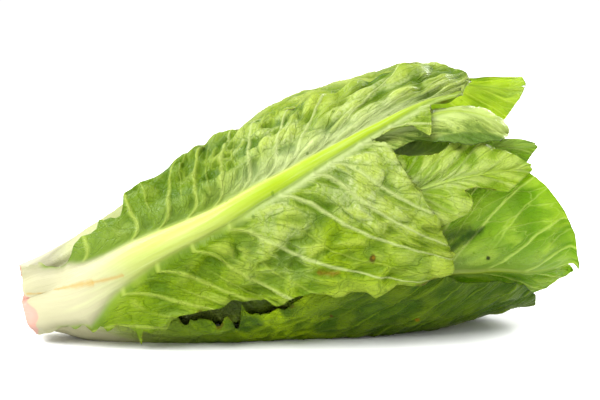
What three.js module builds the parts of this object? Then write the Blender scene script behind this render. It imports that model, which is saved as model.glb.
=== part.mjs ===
// A head of romaine lettuce lying on its side, in millimetres, +Z up.
// +X runs from the cut butt to the leaf tips, -Y is the front, and the head rests on z = 0.
// A short stem carries sixteen leaves. Each leaf is one thin closed blade with a thick midrib,
// wrapped round the leaves inside it.
import * as THREE from "three";
import { mergeVertices } from "three/addons/utils/BufferGeometryUtils.js";

// ---- driving dimensions -------------------------------------------------------------------
const TILT = THREE.MathUtils.degToRad(13.8); // the cone's axis rises towards the tips
const BUTT_HEIGHT = 17; // centre of the cut face above the table
const STEM_LENGTH = 75;
const STEM = [[0, 8.8], [8, 8.4], [20, 6.6], [35, 4.9], [55, 3.4], [70, 2.2], [75, 1.4]]; // radius along it
const ENVELOPE = [[0, 13], [8, 14.4], [20, 19], [35, 26.3], [50, 33.3], [68, 41], [85, 46.5], [110, 51.5],
  [135, 56], [155, 58.5], [175, 59], [200, 57.5], [220, 55], [240, 49]]; // radius along the axis
const SAG = [[90, 0], [130, 0.8], [180, 3], [215, 6], [240, 8]]; // how far the axis droops there
const BLADE = 0.8; // thickness of a leaf blade
const CLEARANCE = [[8, 0.35], [22, 0.8]]; // least gap between a leaf and what lies inside it
const TABLE_LIFT = 4; // how far every leaf but the undermost keeps off the table
const RIB_EDGE = 0.3; // share of a leaf's columns that its midrib takes
const RIB_INWARD = 0.25; // share of the midrib's thickness on the inner face

const AXIS = new THREE.Vector3(Math.cos(TILT), 0, Math.sin(TILT));
const UP = new THREE.Vector3(-Math.sin(TILT), 0, Math.cos(TILT));
const FRONT = new THREE.Vector3(0, -1, 0);
const BUTT = new THREE.Vector3(0, 0, BUTT_HEIGHT);

// ---- small tools --------------------------------------------------------------------------
// The value at x of a smooth curve through [x, y] keys, level beyond both ends.
function along(keys, x) {
  if (typeof keys === "number") return keys;
  const last = keys.length - 1;
  if (x <= keys[0][0]) return keys[0][1];
  if (x >= keys[last][0]) return keys[last][1];
  let i = 0;
  while (x > keys[i + 1][0]) i++;
  const slope = (j) => {
    const before = keys[Math.max(j - 1, 0)], after = keys[Math.min(j + 1, last)];
    return (after[1] - before[1]) / (after[0] - before[0]);
  };
  const span = keys[i + 1][0] - keys[i][0];
  const t = (x - keys[i][0]) / span;
  const t2 = t * t, t3 = t2 * t;
  return (2 * t3 - 3 * t2 + 1) * keys[i][1] + (t3 - 2 * t2 + t) * span * slope(i)
    + (3 * t2 - 2 * t3) * keys[i + 1][1] + (t3 - t2) * span * slope(i + 1);
}

// The value at x of the straight lines between keys, level beyond both ends.
function between(keys, x, column) {
  const i = keys.findIndex((key) => x <= key[0]);
  if (i <= 0) return keys[i < 0 ? keys.length - 1 : 0][column];
  const t = (x - keys[i - 1][0]) / (keys[i][0] - keys[i - 1][0]);
  return keys[i - 1][column] * (1 - t) + keys[i][column] * t;
}

// The larger of a and b, rounded over where they meet.
const smoothMax = (a, b, round) => b + 0.5 * (a - b + Math.hypot(a - b, round));

// A point at axial distance a, angle turn (0 faces the front, 90 degrees up) and radius.
function headPoint(a, turn, radius) {
  return BUTT.clone().addScaledVector(AXIS, a)
    .addScaledVector(FRONT, radius * Math.cos(turn))
    .addScaledVector(UP, radius * Math.sin(turn) - along(SAG, a));
}

// The head's outer radius, flattened where it comes within a lift of the table.
function envelope(a, turn, lift) {
  const round = along(ENVELOPE, a);
  const down = -Math.sin(turn) * Math.cos(TILT);
  if (down <= 0.2) return round;
  const height = BUTT_HEIGHT + a * Math.sin(TILT) - along(SAG, a) * Math.cos(TILT);
  const toTable = (height - lift) / down;
  const near = Math.max(2 - Math.abs(round - toTable), 0) / 2;
  return Math.min(round, toTable) - near * near * 0.5;
}

const stemRadius = (a) => (a <= STEM_LENGTH ? along(STEM, a) : 0);

// ---- the pile: how far out from the axis the leaves laid so far reach ---------------------------
const PILE_STEP = 2.5, PILE_LENGTH = 265, PILE_TURNS = 120;
const PILE_ROWS = Math.round(PILE_LENGTH / PILE_STEP) + 1;
const pile = Array.from({ length: PILE_ROWS }, (_, i) =>
  new Array(PILE_TURNS).fill(stemRadius(i * PILE_STEP)));

// The pile widened by two cells and blurred, so that a leaf laid on it stays smooth.
function smoothedPile() {
  const pass = (grid, mix) => grid.map((row, i) => row.map((_, j) => {
    const before = grid[Math.max(i - 1, 0)], after = grid[Math.min(i + 1, PILE_ROWS - 1)];
    const left = (j + PILE_TURNS - 1) % PILE_TURNS, right = (j + 1) % PILE_TURNS;
    return mix([before[left], before[j], before[right], row[left], row[j], row[right],
      after[left], after[j], after[right]]);
  }));
  const mean = (cells) => cells.reduce((sum, cell) => sum + cell, 0) / cells.length;
  let grid = pile;
  for (let n = 0; n < 2; n++) grid = pass(grid, (cells) => Math.max(...cells));
  for (let n = 0; n < 3; n++) grid = pass(grid, mean);
  return grid;
}

function pileAt(grid, a, turn) {
  const x = THREE.MathUtils.clamp(a / PILE_STEP, 0, PILE_ROWS - 1.001);
  const y = THREE.MathUtils.euclideanModulo((turn / (2 * Math.PI)) * PILE_TURNS, PILE_TURNS);
  const i = Math.floor(x), j = Math.floor(y) % PILE_TURNS, k = (j + 1) % PILE_TURNS;
  const s = x - i, t = y - Math.floor(y);
  return (grid[i][j] * (1 - t) + grid[i][k] * t) * (1 - s)
    + (grid[i + 1][j] * (1 - t) + grid[i + 1][k] * t) * s;
}

// ---- a leaf -------------------------------------------------------------------------------
// Half the midrib's width, and its thickness, at axial distance a on a leaf 200 mm long.
const RIB_WIDTH = [[0, 20], [8, 15], [16, 11.5], [24, 8.6], [33, 7.2], [50, 6.4], [65, 5.9], [80, 5.1],
  [98, 4.6], [121, 4.1], [145, 3.1], [168, 2.3], [184, 1.2], [200, 0.5]];
const RIB_HEIGHT = [[0, 3.6], [20, 4], [50, 4], [100, 3.2], [140, 2.2], [168, 1.3], [184, 0.6], [200, 0.2]];

// A leaf's place, u from base to tip along the midrib and c from -1 to 1 across, in flat measures.
function leafPlace(leaf, u, c) {
  const side = c < 0 ? leaf.down : leaf.up;
  const spot = leaf.start + (leaf.reach - leaf.start) * u;
  const ahead = between(side, u, 1);
  const lobe = 1 + leaf.lobes * Math.sin(40 * u + 3 * leaf.phase);
  const swing = THREE.MathUtils.degToRad(between(side, u, 2) * lobe);
  const shell = along(leaf.shell, u);
  const width = Math.hypot(ahead, swing * along(ENVELOPE, spot + ahead / 2) * Math.max(shell, 0.2));
  const scaled = (spot * 200) / leaf.reach;
  const ribHalf = Math.min(along(RIB_WIDTH, scaled) * leaf.rib, 0.92 * width);
  const share = Math.abs(c);
  const out = share < RIB_EDGE ? (ribHalf * share) / RIB_EDGE
    : ribHalf + ((width - ribHalf) * (share - RIB_EDGE)) / (1 - RIB_EDGE);
  const foot = leaf.start > 0 ? Math.min(0.3 + 6 * u, 1) : 1; // a leaf off the stem starts thin
  const rib = along(RIB_HEIGHT, scaled) * leaf.rib * foot * Math.max(1 - (out / ribHalf) ** 2, 0) ** 1.5;
  return { spot, ahead, swing, shell, width, out, rib };
}

// The middle of the blade, as axial distance, angle and radius.
function leafPolar(leaf, u, c) {
  const { spot, ahead, swing, shell, width, out, rib } = leafPlace(leaf, u, c);
  const side = c < 0 ? -1 : 1;
  const across = out / width;
  const a = spot + ahead * across;
  const turn = THREE.MathUtils.degToRad(along(leaf.turn, u)) + side * swing * across;
  const core = stemRadius(a) || 1;
  const sunk = (1 - RIB_INWARD) * rib * THREE.MathUtils.clamp(1.3 - a / 60, 0, 1);
  const wave = Math.sin(u * leaf.waves * 2 * Math.PI + leaf.phase + side) * leaf.wave;
  const keel = along(leaf.keel ?? 0, u);
  const bend = keel + (along(leaf.flare ?? 0, u) + wave - keel) * across ** 2;
  const wish = core + (envelope(a, turn, leaf.rests ? 0 : TABLE_LIFT) - core) * shell
    - BLADE / 2 - sunk + bend;
  const least = pileAt(leaf.beneath, a, turn) + between(CLEARANCE, a, 1) + BLADE / 2 + RIB_INWARD * rib;
  return { a, turn, radius: smoothMax(wish, least, 0.8) };
}

function leafPoint(leaf, u, c) {
  const { a, turn, radius } = leafPolar(leaf, u, c);
  return headPoint(a, turn, radius);
}

// The outward normal of the blade.
function leafNormal(leaf, u, c) {
  const step = 0.004;
  const [u0, u1] = [Math.max(u - step, 0), Math.min(u + step, 1)];
  const [c0, c1] = [Math.max(c - step, -1), Math.min(c + step, 1)];
  const lengthwise = leafPoint(leaf, u1, c).sub(leafPoint(leaf, u0, c));
  const crosswise = leafPoint(leaf, u, c1).sub(leafPoint(leaf, u, c0));
  return crosswise.cross(lengthwise).negate().normalize();
}

// Lays a leaf on the pile: keeps what lies beneath it, then adds its own outer face.
function layOnPile(leaf) {
  leaf.beneath = smoothedPile();
  const rows = 110, columns = 90;
  for (let i = 0; i <= rows; i++)
    for (let j = 0; j <= columns; j++) {
      const u = i / rows, c = (2 * j) / columns - 1;
      const { a, turn, radius } = leafPolar(leaf, u, c);
      const top = radius + BLADE / 2 + (1 - RIB_INWARD) * leafPlace(leaf, u, c).rib;
      const row = Math.round(a / PILE_STEP);
      if (row < 0 || row >= PILE_ROWS) continue;
      const column = THREE.MathUtils.euclideanModulo(
        Math.round((turn / (2 * Math.PI)) * PILE_TURNS), PILE_TURNS);
      pile[row][column] = Math.max(pile[row][column], top);
    }
}

// The closed blade: an outer and an inner face over one grid, joined round the margin.
function leafGeometry(leaf) {
  const even = Array.from({ length: leaf.rows + 1 }, (_, i) => (i / leaf.rows) ** 1.3);
  const stations = leaf.stations ?? even;
  const rows = stations.length - 1, columns = leaf.columns;
  const positions = [], faces = [];
  const at = (i, j, face) => (i * (columns + 1) + j) * 2 + face;
  for (let i = 0; i <= rows; i++)
    for (let j = 0; j <= columns; j++) {
      const u = stations[i], c = (2 * j) / columns - 1;
      const middle = leafPoint(leaf, u, c);
      const normal = leafNormal(leaf, u, c);
      const rib = leafPlace(leaf, u, c).rib;
      const outer = middle.clone().addScaledVector(normal, BLADE / 2 + (1 - RIB_INWARD) * rib);
      const inner = middle.clone().addScaledVector(normal, -BLADE / 2 - RIB_INWARD * rib);
      outer.z = outer.z < 0.3 && leaf.rests ? 0 : outer.z;
      inner.z = leaf.rests ? Math.max(inner.z, outer.z < 0.01 ? BLADE : 0) : inner.z;
      positions.push(...outer, ...inner);
    }
  const quad = (a, b, c, d) => faces.push(a, b, c, a, c, d);
  for (let i = 0; i < rows; i++)
    for (let j = 0; j < columns; j++) {
      quad(at(i, j, 0), at(i + 1, j, 0), at(i + 1, j + 1, 0), at(i, j + 1, 0));
      faces.push(at(i, j, 1), at(i + 1, j + 1, 1), at(i + 1, j, 1));
      faces.push(at(i, j, 1), at(i, j + 1, 1), at(i + 1, j + 1, 1));
    }
  for (let i = 0; i < rows; i++) {
    quad(at(i, 0, 0), at(i, 0, 1), at(i + 1, 0, 1), at(i + 1, 0, 0));
    quad(at(i, columns, 0), at(i + 1, columns, 0), at(i + 1, columns, 1), at(i, columns, 1));
  }
  for (let j = 0; j < columns; j++) {
    quad(at(0, j, 0), at(0, j + 1, 0), at(0, j + 1, 1), at(0, j, 1));
    quad(at(rows, j, 0), at(rows, j, 1), at(rows, j + 1, 1), at(rows, j + 1, 0));
  }
  const geometry = new THREE.BufferGeometry();
  geometry.setAttribute("position", new THREE.Float32BufferAttribute(positions, 3));
  geometry.setIndex(faces);
  return mergeVertices(geometry, 1e-4);
}

// ---- the leaves, from the outermost to the innermost ------------------------------------------
// start and reach: where the midrib begins and ends along the axis. turn: the midrib's angle at u.
// up and down: for each side, [u, how far ahead of the midrib the margin lies, how many degrees off].
const OUTER = { rows: 22, columns: 14 };
const MIDDLE = { rows: 16, columns: 12 };
const HEART = { rows: 12, columns: 8 };
const fan = (wide, ahead) => [[0, 0, 30], [0.15, 0.2 * ahead, 0.62 * wide], [0.4, 0.7 * ahead, wide],
  [0.65, ahead, wide], [0.85, 0.8 * ahead, 0.68 * wide], [0.95, 0.4 * ahead, 0.36 * wide], [1, 0, 3]];
const LEAVES = [
  { name: "outer_leaf_front", ...OUTER,
    start: 0, reach: 200, rib: 1, wave: 0.8, waves: 5, phase: 1, lobes: 0,
    turn: [[0, 4], [0.08, 5], [0.15, 11], [0.225, 16.5], [0.28, 19], [0.4, 23], [0.49, 27.6],
      [0.605, 33.7], [0.725, 40.5], [0.845, 47], [0.92, 51], [1, 57]],
    shell: 1,
    stations: [0, 0.025, 0.05, 0.072, 0.085, 0.0975, 0.11, 0.125, 0.144, 0.16, 0.1675, 0.1825, 0.205, 0.22,
      0.2325, 0.2425, 0.265, 0.2825, 0.3225, 0.34, 0.365, 0.41, 0.435, 0.46, 0.5075, 0.535, 0.5525, 0.585, 0.61,
      0.64, 0.665, 0.69, 0.715, 0.735, 0.755, 0.77, 0.79, 0.84, 0.87, 0.89, 0.93, 0.96, 1],
    up: [[0, 1, 62], [0.015, 1, 52.9], [0.022, 1, 55.9], [0.03, 1.8, 46.9], [0.037, 2, 51.9],
      [0.045, 3, 39.8], [0.055, 3.5, 36.7], [0.065, 4, 30.5], [0.085, 3.5, 30.7], [0.1, 3.5, 33.7],
      [0.11, 3.5, 38.8], [0.125, 4.5, 42.3], [0.145, 4.5, 36.4], [0.16, 4.5, 36.2], [0.168, 5, 42.6],
      [0.18, 4.5, 37.7], [0.205, 4, 32.8], [0.22, 3.5, 30.8], [0.233, 3, 37.1], [0.242, 3, 49.5],
      [0.265, 3, 48.6], [0.28, 2.5, 47], [0.31, 3.5, 48], [0.343, 3.5, 50], [0.365, 4, 51.3],
      [0.385, 4, 52.6], [0.41, 4, 54.6], [0.435, 4.5, 56.4], [0.455, 4.5, 58.3], [0.47, 5, 57.5],
      [0.49, 5.5, 54.4], [0.507, 6, 49.5], [0.537, 7, 46.9], [0.6, 10.5, 41.6], [0.665, 13, 36.9],
      [0.705, 14.5, 37.6], [0.75, 15.5, 37.1], [0.815, 16, 34.6], [0.845, 17.5, 32], [0.91, 18.5, 36.6],
      [0.94, 18.5, 31.6], [0.965, 16.5, 20.7], [0.98, 12.5, 12.5], [0.993, 5.5, 3.6], [1, 1, -2]],
    down: [[0, 0, 48], [0.028, 2.5, 36.1], [0.04, 3, 30.2], [0.05, 4.5, 24.2], [0.058, 5, 31.3],
      [0.072, 6.5, 24.7], [0.085, 7, 33.3], [0.098, 8.5, 25.1], [0.105, 9, 33.8], [0.12, 10.5, 29.2],
      [0.133, 12.5, 31.4], [0.14, 13, 35.1], [0.144, 13.2, 46.5], [0.152, 14, 37.2], [0.163, 14.5, 40.5],
      [0.172, 16, 37.8], [0.182, 17, 40.5], [0.195, 18, 34], [0.217, 21, 35.5], [0.237, 24.5, 38.2],
      [0.255, 27.5, 39], [0.265, 29.5, 36.7], [0.282, 31.5, 38.3], [0.31, 33.5, 40.5],
      [0.323, 34.5, 44.4], [0.34, 35, 43.9], [0.365, 35.5, 42.7], [0.41, 36, 43.9], [0.435, 36.5, 47.6],
      [0.46, 37, 47], [0.49, 38, 48.6], [0.507, 38, 53.5], [0.535, 38.5, 54], [0.552, 39, 52.9],
      [0.585, 39, 55.6], [0.61, 39.5, 58], [0.635, 40.5, 57.4], [0.655, 42.5, 58.5], [0.667, 41.5, 55.2],
      [0.677, 38.5, 50.8], [0.69, 34, 42.5], [0.715, 24.5, 29.7], [0.735, 17.4, 19.8], [0.75, 12, 12.5],
      [0.76, 6.4, 7], [0.77, 1.5, 4], [0.79, 4.2, 3.8], [0.815, 5, 4.4], [0.84, 5.5, 6.3],
      [0.87, 5, 14.5], [0.89, 5, 5.3], [0.91, 2.5, 1.4], [0.95, 6, 4.1], [1, 1, 3]] },
  { name: "outer_leaf_top", ...OUTER,
    start: 0, reach: 200, rib: 0.6, wave: 1.2, waves: 4, phase: 0, lobes: 0.06,
    turn: [[0, 112], [0.2, 116], [0.5, 126], [1, 138]],
    shell: [[0, 0.94], [0.12, 0.82], [0.3, 0.78], [0.38, 0.82], [0.44, 0.88],
      [0.5, 0.94], [0.58, 1.04], [0.8, 1.05], [0.89, 1.12], [0.95, 1.1], [1, 1.03]],
    flare: [[0, 0], [0.05, -2], [0.15, -2], [0.3, 0], [0.45, -4], [0.58, -8], [0.86, -8], [0.94, 0], [1, 0]],
    up: [[0, 0, 38], [0.1, 2, 36.2], [0.25, 8, 42.5], [0.4, 10, 59.2], [0.5, 10, 64],
      [0.65, 10, 64.1], [0.75, 10, 57.8], [0.85, 8, 43.5], [0.92, 5, 26.9], [0.97, 2, 11.7], [1, 0, 3]],
    down: [[0, 0, 28], [0.02, 0.5, 50.4], [0.04, 0.5, 68.7], [0.065, 1, 75.2], [0.09, 1, 73.6],
      [0.12, 1, 64.2], [0.17, 3, 55.2], [0.25, 6, 47.5], [0.4, 8, 46.8], [0.52, 8, 50.5],
      [0.7, 17, 56.1], [0.79, 20, 57.1], [0.83, 20, 56.1], [0.86, 18, 51.7], [0.9, 12, 37.7],
      [0.95, 6, 18.8], [1, 0, 2]] },
  { name: "outer_leaf_under", ...OUTER,
    start: 0, reach: 216, rib: 0.9, wave: 0.4, waves: 4, phase: 2, lobes: 0.03, rests: true,
    turn: [[0, -72], [0.06, -62], [0.2, -64], [0.4, -76], [0.6, -80], [1, -78]],
    shell: [[0, 0.96], [0.2, 1], [1, 1]],
    keel: [[0, 1], [0.06, 4], [0.15, 5], [0.25, 3], [0.38, 0]],
    stations: [0, 0.035, 0.07, 0.11, 0.15, 0.195, 0.23, 0.253, 0.266, 0.294, 0.306, 0.32, 0.333, 0.351, 0.373,
      0.405, 0.46, 0.546, 0.648, 0.704, 0.755, 0.824, 0.889, 0.926, 0.963, 1],
    up: [[0, 0, 32], [0.037, 1, 42.7], [0.069, 3, 45.7], [0.139, 4, 47.8], [0.194, 5, 46.8],
      [0.213, 6, 42.6], [0.231, 7, 42.6], [0.241, 7.5, 43.1], [0.245, 7.8, 37.4], [0.253, 7.9, 35.8],
      [0.258, 7.9, 40.2], [0.266, 8.5, 41.7], [0.275, 8.5, 44.3], [0.294, 9, 44.6], [0.3, 9.2, 40.5],
      [0.306, 9.5, 40.5], [0.315, 9.7, 45.1], [0.32, 10.1, 46.4], [0.325, 10.2, 43.8],
      [0.331, 10.3, 34.6], [0.335, 10.3, 34.4], [0.341, 10.4, 40.8], [0.347, 10.5, 47.2],
      [0.351, 10.5, 52.5], [0.355, 10.4, 47.7], [0.363, 10.5, 45.2], [0.373, 10.5, 46.7],
      [0.38, 10.5, 45.1], [0.391, 10.5, 47.1], [0.405, 10.5, 49.2], [0.421, 11, 50.8], [0.435, 11, 53.3],
      [0.458, 12, 58], [0.546, 14, 60.6], [0.648, 18.5, 60.1], [0.694, 18, 57], [0.755, 17, 49.7],
      [0.889, 16, 34.7], [0.944, 10.5, 21.3], [1, 1, 3]],
    down: [[0, 0, 38], [0.093, 4, 50.7], [0.231, 10, 62.4], [0.37, 10, 65.4], [0.509, 10, 63.9],
      [0.694, 10, 58], [0.833, 7, 42.8], [0.926, 4, 21.5], [1, 1, 4]] },
  { name: "outer_leaf_back", ...OUTER,
    start: 0, reach: 202, rib: 0.8, wave: 1.2, waves: 4, phase: 3, lobes: 0.06,
    turn: [[0, 195], [1, 208]],
    shell: [[0, 0.93], [0.3, 0.86], [0.6, 0.93], [1, 0.96]],
    up: [[0, 0, 37], [0.099, 4, 39.7], [0.248, 10, 43.8], [0.396, 12, 49.9], [0.545, 12, 49.9],
      [0.718, 10, 43.7], [0.842, 8, 32.1], [0.921, 5, 19], [0.97, 3, 8.4], [1, 0, 2]],
    down: [[0, 0, 38], [0.099, 4, 38.3], [0.248, 8, 44.2], [0.396, 10, 52.1], [0.545, 10, 58.1],
      [0.718, 10, 56.3], [0.842, 7, 43.9], [0.921, 4, 25], [0.97, 2, 11.6], [1, 0, 3]] },
  { name: "second_leaf_rolled", ...MIDDLE,
    start: 44, reach: 214, rib: 0.5, wave: 0.4, waves: 3, phase: 0, lobes: 0,
    turn: [[0, 30], [0.5, 41], [0.83, 45], [0.9, 43.5], [0.96, 39], [1, 35.5]],
    shell: [[0, 0.86], [0.6, 0.88], [1, 0.9]],
    keel: [[0.6, 0], [0.85, 7], [0.95, 7], [1, 4]],
    up: [[0, 0, 20], [0.271, 8, 25.8], [0.624, 8, 13], [0.771, 11, 7.4], [0.829, 9, 6.5],
      [0.888, 10.8, 5.5], [0.953, 5, 4.4], [1, 0.5, 2.5]],
    down: [[0, 0, 22], [0.271, 8, 18.2], [0.624, 8, 12], [0.718, 8, 7.1], [0.759, 8, 11.5],
      [0.859, 5, 16.8], [0.935, 5, 13.1], [0.982, 2, 6.1], [1, 0.5, 1.5]] },
  { name: "second_leaf_front", ...OUTER,
    start: 28, reach: 218, rib: 0.3, wave: 0.8, waves: 3, phase: 0, lobes: 0,
    turn: [[0, -10], [0.5, 8], [0.8, 15], [1, 15]],
    shell: [[0, 0.84], [0.6, 0.87], [1, 0.9]],
    flare: [[0.5, 0], [0.75, 3], [1, 2]],
    up: [[0, 0, 24], [0.168, 6, 37.8], [0.379, 18, 46], [0.537, 20, 28.9], [0.616, 18, 21.3],
      [0.695, 18, 14.4], [0.737, 16, 14.8], [0.774, 14.6, 19.6], [0.837, 13.5, 14.1], [0.895, 11.6, 8.7],
      [0.953, 7, 2.9], [1, 0.5, 1]],
    down: [[0, 0, 24], [0.168, 10, 30.2], [0.432, 25, 29.8], [0.537, 25, 23.1], [0.616, 25.6, 16.6],
      [0.668, 25, 14.3], [0.711, 23.5, 13.8], [0.742, 20.7, 10.2], [0.758, 15.1, 4.3],
      [0.789, 15.2, 4.8], [0.842, 16.8, 9.7], [0.884, 15.1, 6], [0.942, 10.8, 2.2], [1, 0.5, 1]] },
  { name: "second_leaf_low", ...OUTER,
    start: 18, reach: 233, rib: 0.65, wave: 0.8, waves: 3, phase: 0.5, lobes: 0,
    turn: [[0, -46], [0.35, -38], [0.6, -31], [0.73, -31.7], [0.78, -35], [0.835, -38.5], [0.9, -46],
      [1, -56]],
    shell: [[0, 0.86], [0.6, 0.87], [0.8, 0.86], [1, 0.88]],
    flare: [[0.7, 0], [0.84, 5], [1, 4]],
    up: [[0, 0, 20], [0.195, 20, 49.6], [0.381, 28, 55.2], [0.567, 32, 55.6], [0.684, 35, 52.9],
      [0.753, 34, 51], [0.823, 28, 42.6], [0.87, 24, 33.4], [0.916, 18, 23.7], [0.958, 10, 13.9],
      [0.986, 6, 5.6], [1, 4, 0]],
    down: [[0, 0, 20], [0.195, 16, 20.4], [0.381, 18, 24.8], [0.614, 20, 29.2], [0.8, 14, 26.8],
      [0.865, 13, 31.2], [0.902, 11, 26.8], [0.935, 9, 22.4], [0.967, 6, 18.2], [0.986, 4.5, 12.4],
      [1, 3, 5]] },
  { name: "second_leaf_top", ...MIDDLE,
    start: 6, reach: 246, rib: 0.5, wave: 0.8, waves: 3, phase: 1.4, lobes: 0.06,
    turn: [[0, 75], [0.5, 106], [0.85, 122], [1, 128]],
    shell: [[0, 0.62], [0.15, 0.66], [0.3, 0.7], [0.5, 0.8], [0.7, 0.93],
      [1, 1]],
    up: [[0, 0, 23], [0.1, 4, 28.7], [0.225, 12, 36.7], [0.392, 18, 46.3], [0.6, 20, 46.9],
      [0.767, 18, 43.6], [0.833, 20, 38.7], [0.883, 19.5, 29.6], [0.925, 15, 21.9], [0.958, 11, 14.6],
      [0.983, 7, 7.7], [1, 3.3, 3]],
    down: [[0, 0, 19], [0.1, 4, 23.3], [0.225, 12, 27.3], [0.392, 18, 29.7], [0.6, 20, 31.1],
      [0.767, 16, 24.4], [0.808, 14, 10.2], [0.833, 15.5, 5.3], [0.858, 15, 10.4], [0.892, 14.5, 15.8],
      [0.933, 11, 15.4], [0.967, 8, 9.7], [0.988, 6, 1.5], [1, 3.3, -2]] },
  { name: "second_leaf_back", ...MIDDLE,
    start: 24, reach: 216, rib: 0.65, wave: 1, waves: 3, phase: 2.4, lobes: 0.06,
    turn: [[0, 158], [1, 180]],
    shell: [[0, 0.6], [0.35, 0.66], [0.65, 0.82], [1, 0.85]],
    up: fan(52, 14),
    down: fan(46, 14) },
  { name: "third_leaf_front", ...MIDDLE,
    start: 34, reach: 226, rib: 0.5, wave: 0.8, waves: 3, phase: 2, lobes: 0.03,
    turn: [[0, 50], [0.5, 36], [1, 29]],
    shell: [[0, 0.6], [0.25, 0.7], [0.8, 0.77], [1, 0.8]],
    up: [[0, 0, 26], [0.188, 10, 33.6], [0.396, 14, 37.5], [0.604, 14, 33.9], [0.786, 11, 18.4],
      [0.891, 7, 5.6], [0.958, 4, 2.4], [1, 1, 1]],
    down: [[0, 0, 28], [0.188, 10, 42.4], [0.396, 14, 44.5], [0.604, 16, 34.1], [0.812, 12, 17.3],
      [0.917, 9, 12.1], [0.969, 4, 5.4], [1, 1, 2]] },
  { name: "third_leaf_under", ...MIDDLE,
    start: 40, reach: 218, rib: 0.5, wave: 1, waves: 3, phase: 1, lobes: 0.06,
    turn: [[0, -120], [1, -100]],
    shell: [[0, 0.6], [0.4, 0.68], [0.8, 0.78], [1, 0.78]],
    up: fan(56, 12),
    down: fan(56, 12) },
  { name: "heart_leaf_1", ...HEART,
    start: 50, reach: 219, rib: 0.45, wave: 0.8, waves: 3, phase: 1, lobes: 0.06,
    turn: [[0, 100], [1, 98]],
    shell: [[0, 0.45], [0.25, 0.6], [0.8, 0.66], [1, 0.6]],
    up: fan(62, 10),
    down: fan(62, 10) },
  { name: "heart_leaf_2", ...HEART,
    start: 55, reach: 214, rib: 0.4, wave: 0.8, waves: 3, phase: 2, lobes: 0.06,
    turn: [[0, -160], [1, -150]],
    shell: [[0, 0.56], [0.8, 0.56], [1, 0.48]],
    up: fan(66, 10),
    down: fan(66, 10) },
  { name: "heart_leaf_3", ...HEART,
    start: 60, reach: 208, rib: 0.35, wave: 0.7, waves: 3, phase: 3, lobes: 0.06,
    turn: [[0, -40], [1, -20]],
    shell: [[0, 0.46], [0.8, 0.45], [1, 0.38]],
    up: fan(70, 9),
    down: fan(70, 9) },
  { name: "heart_leaf_4", ...HEART,
    start: 64, reach: 198, rib: 0.3, wave: 0.6, waves: 3, phase: 4, lobes: 0.06,
    turn: [[0, 60], [1, 70]],
    shell: [[0, 0.34], [0.8, 0.33], [1, 0.26]],
    up: fan(74, 8),
    down: fan(74, 8) },
  { name: "heart_leaf_5", ...HEART,
    start: 68, reach: 186, rib: 0.3, wave: 0.5, waves: 3, phase: 5, lobes: 0.06,
    turn: [[0, 190], [1, 200]],
    shell: [[0, 0.22], [0.8, 0.2], [1, 0.16]],
    up: fan(70, 7),
    down: fan(70, 7) },
];

// ---- the head -----------------------------------------------------------------------------
const paint = (color, roughness) => new THREE.MeshStandardMaterial({ color, roughness, metalness: 0 });

function stem() {
  const outline = [new THREE.Vector2(0, 0)];
  for (let n = 0; n <= 12; n++) {
    const a = (STEM_LENGTH * n) / 12;
    outline.push(new THREE.Vector2(stemRadius(a) - 0.4, a));
  }
  outline.push(new THREE.Vector2(0, STEM_LENGTH));
  const mesh = new THREE.Mesh(new THREE.LatheGeometry(outline, 28), paint("#e9dfc0", 0.6));
  mesh.quaternion.setFromUnitVectors(new THREE.Vector3(0, 1, 0), AXIS);
  mesh.position.copy(BUTT);
  mesh.name = "stem";
  return mesh;
}

const head = new THREE.Group();
head.add(stem());
for (const leaf of [...LEAVES].reverse()) {
  layOnPile(leaf);
  const mesh = new THREE.Mesh(leafGeometry(leaf), paint("#8fb84a", 0.5));
  mesh.name = leaf.name;
  head.add(mesh);
}

// The origin is the middle of the bounding box's underside.
const box = new THREE.Box3().setFromObject(head);
head.position.set(-(box.min.x + box.max.x) / 2, -(box.min.y + box.max.y) / 2, -box.min.z);

export default head;
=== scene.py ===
# %% [markdown]
# # A loosened head of romaine lettuce, lying on its side
#
# A romaine heart is a short stem that was cut across, with long leaves in a spiral on it.
# Each leaf is a thin blade stiffened by a fleshy midrib, and each wraps the leaves inside it.
# The packed model gives every leaf as a plain closed blade. This lesson grows each blade again
# from the same rule, finer, and gives it what an eye looks for on lettuce: side veins, puckered
# panels between them, a ragged margin, a blanched base and flesh that light passes through.

# %% Load the packed model
import math
from functools import partial, reduce

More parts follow.
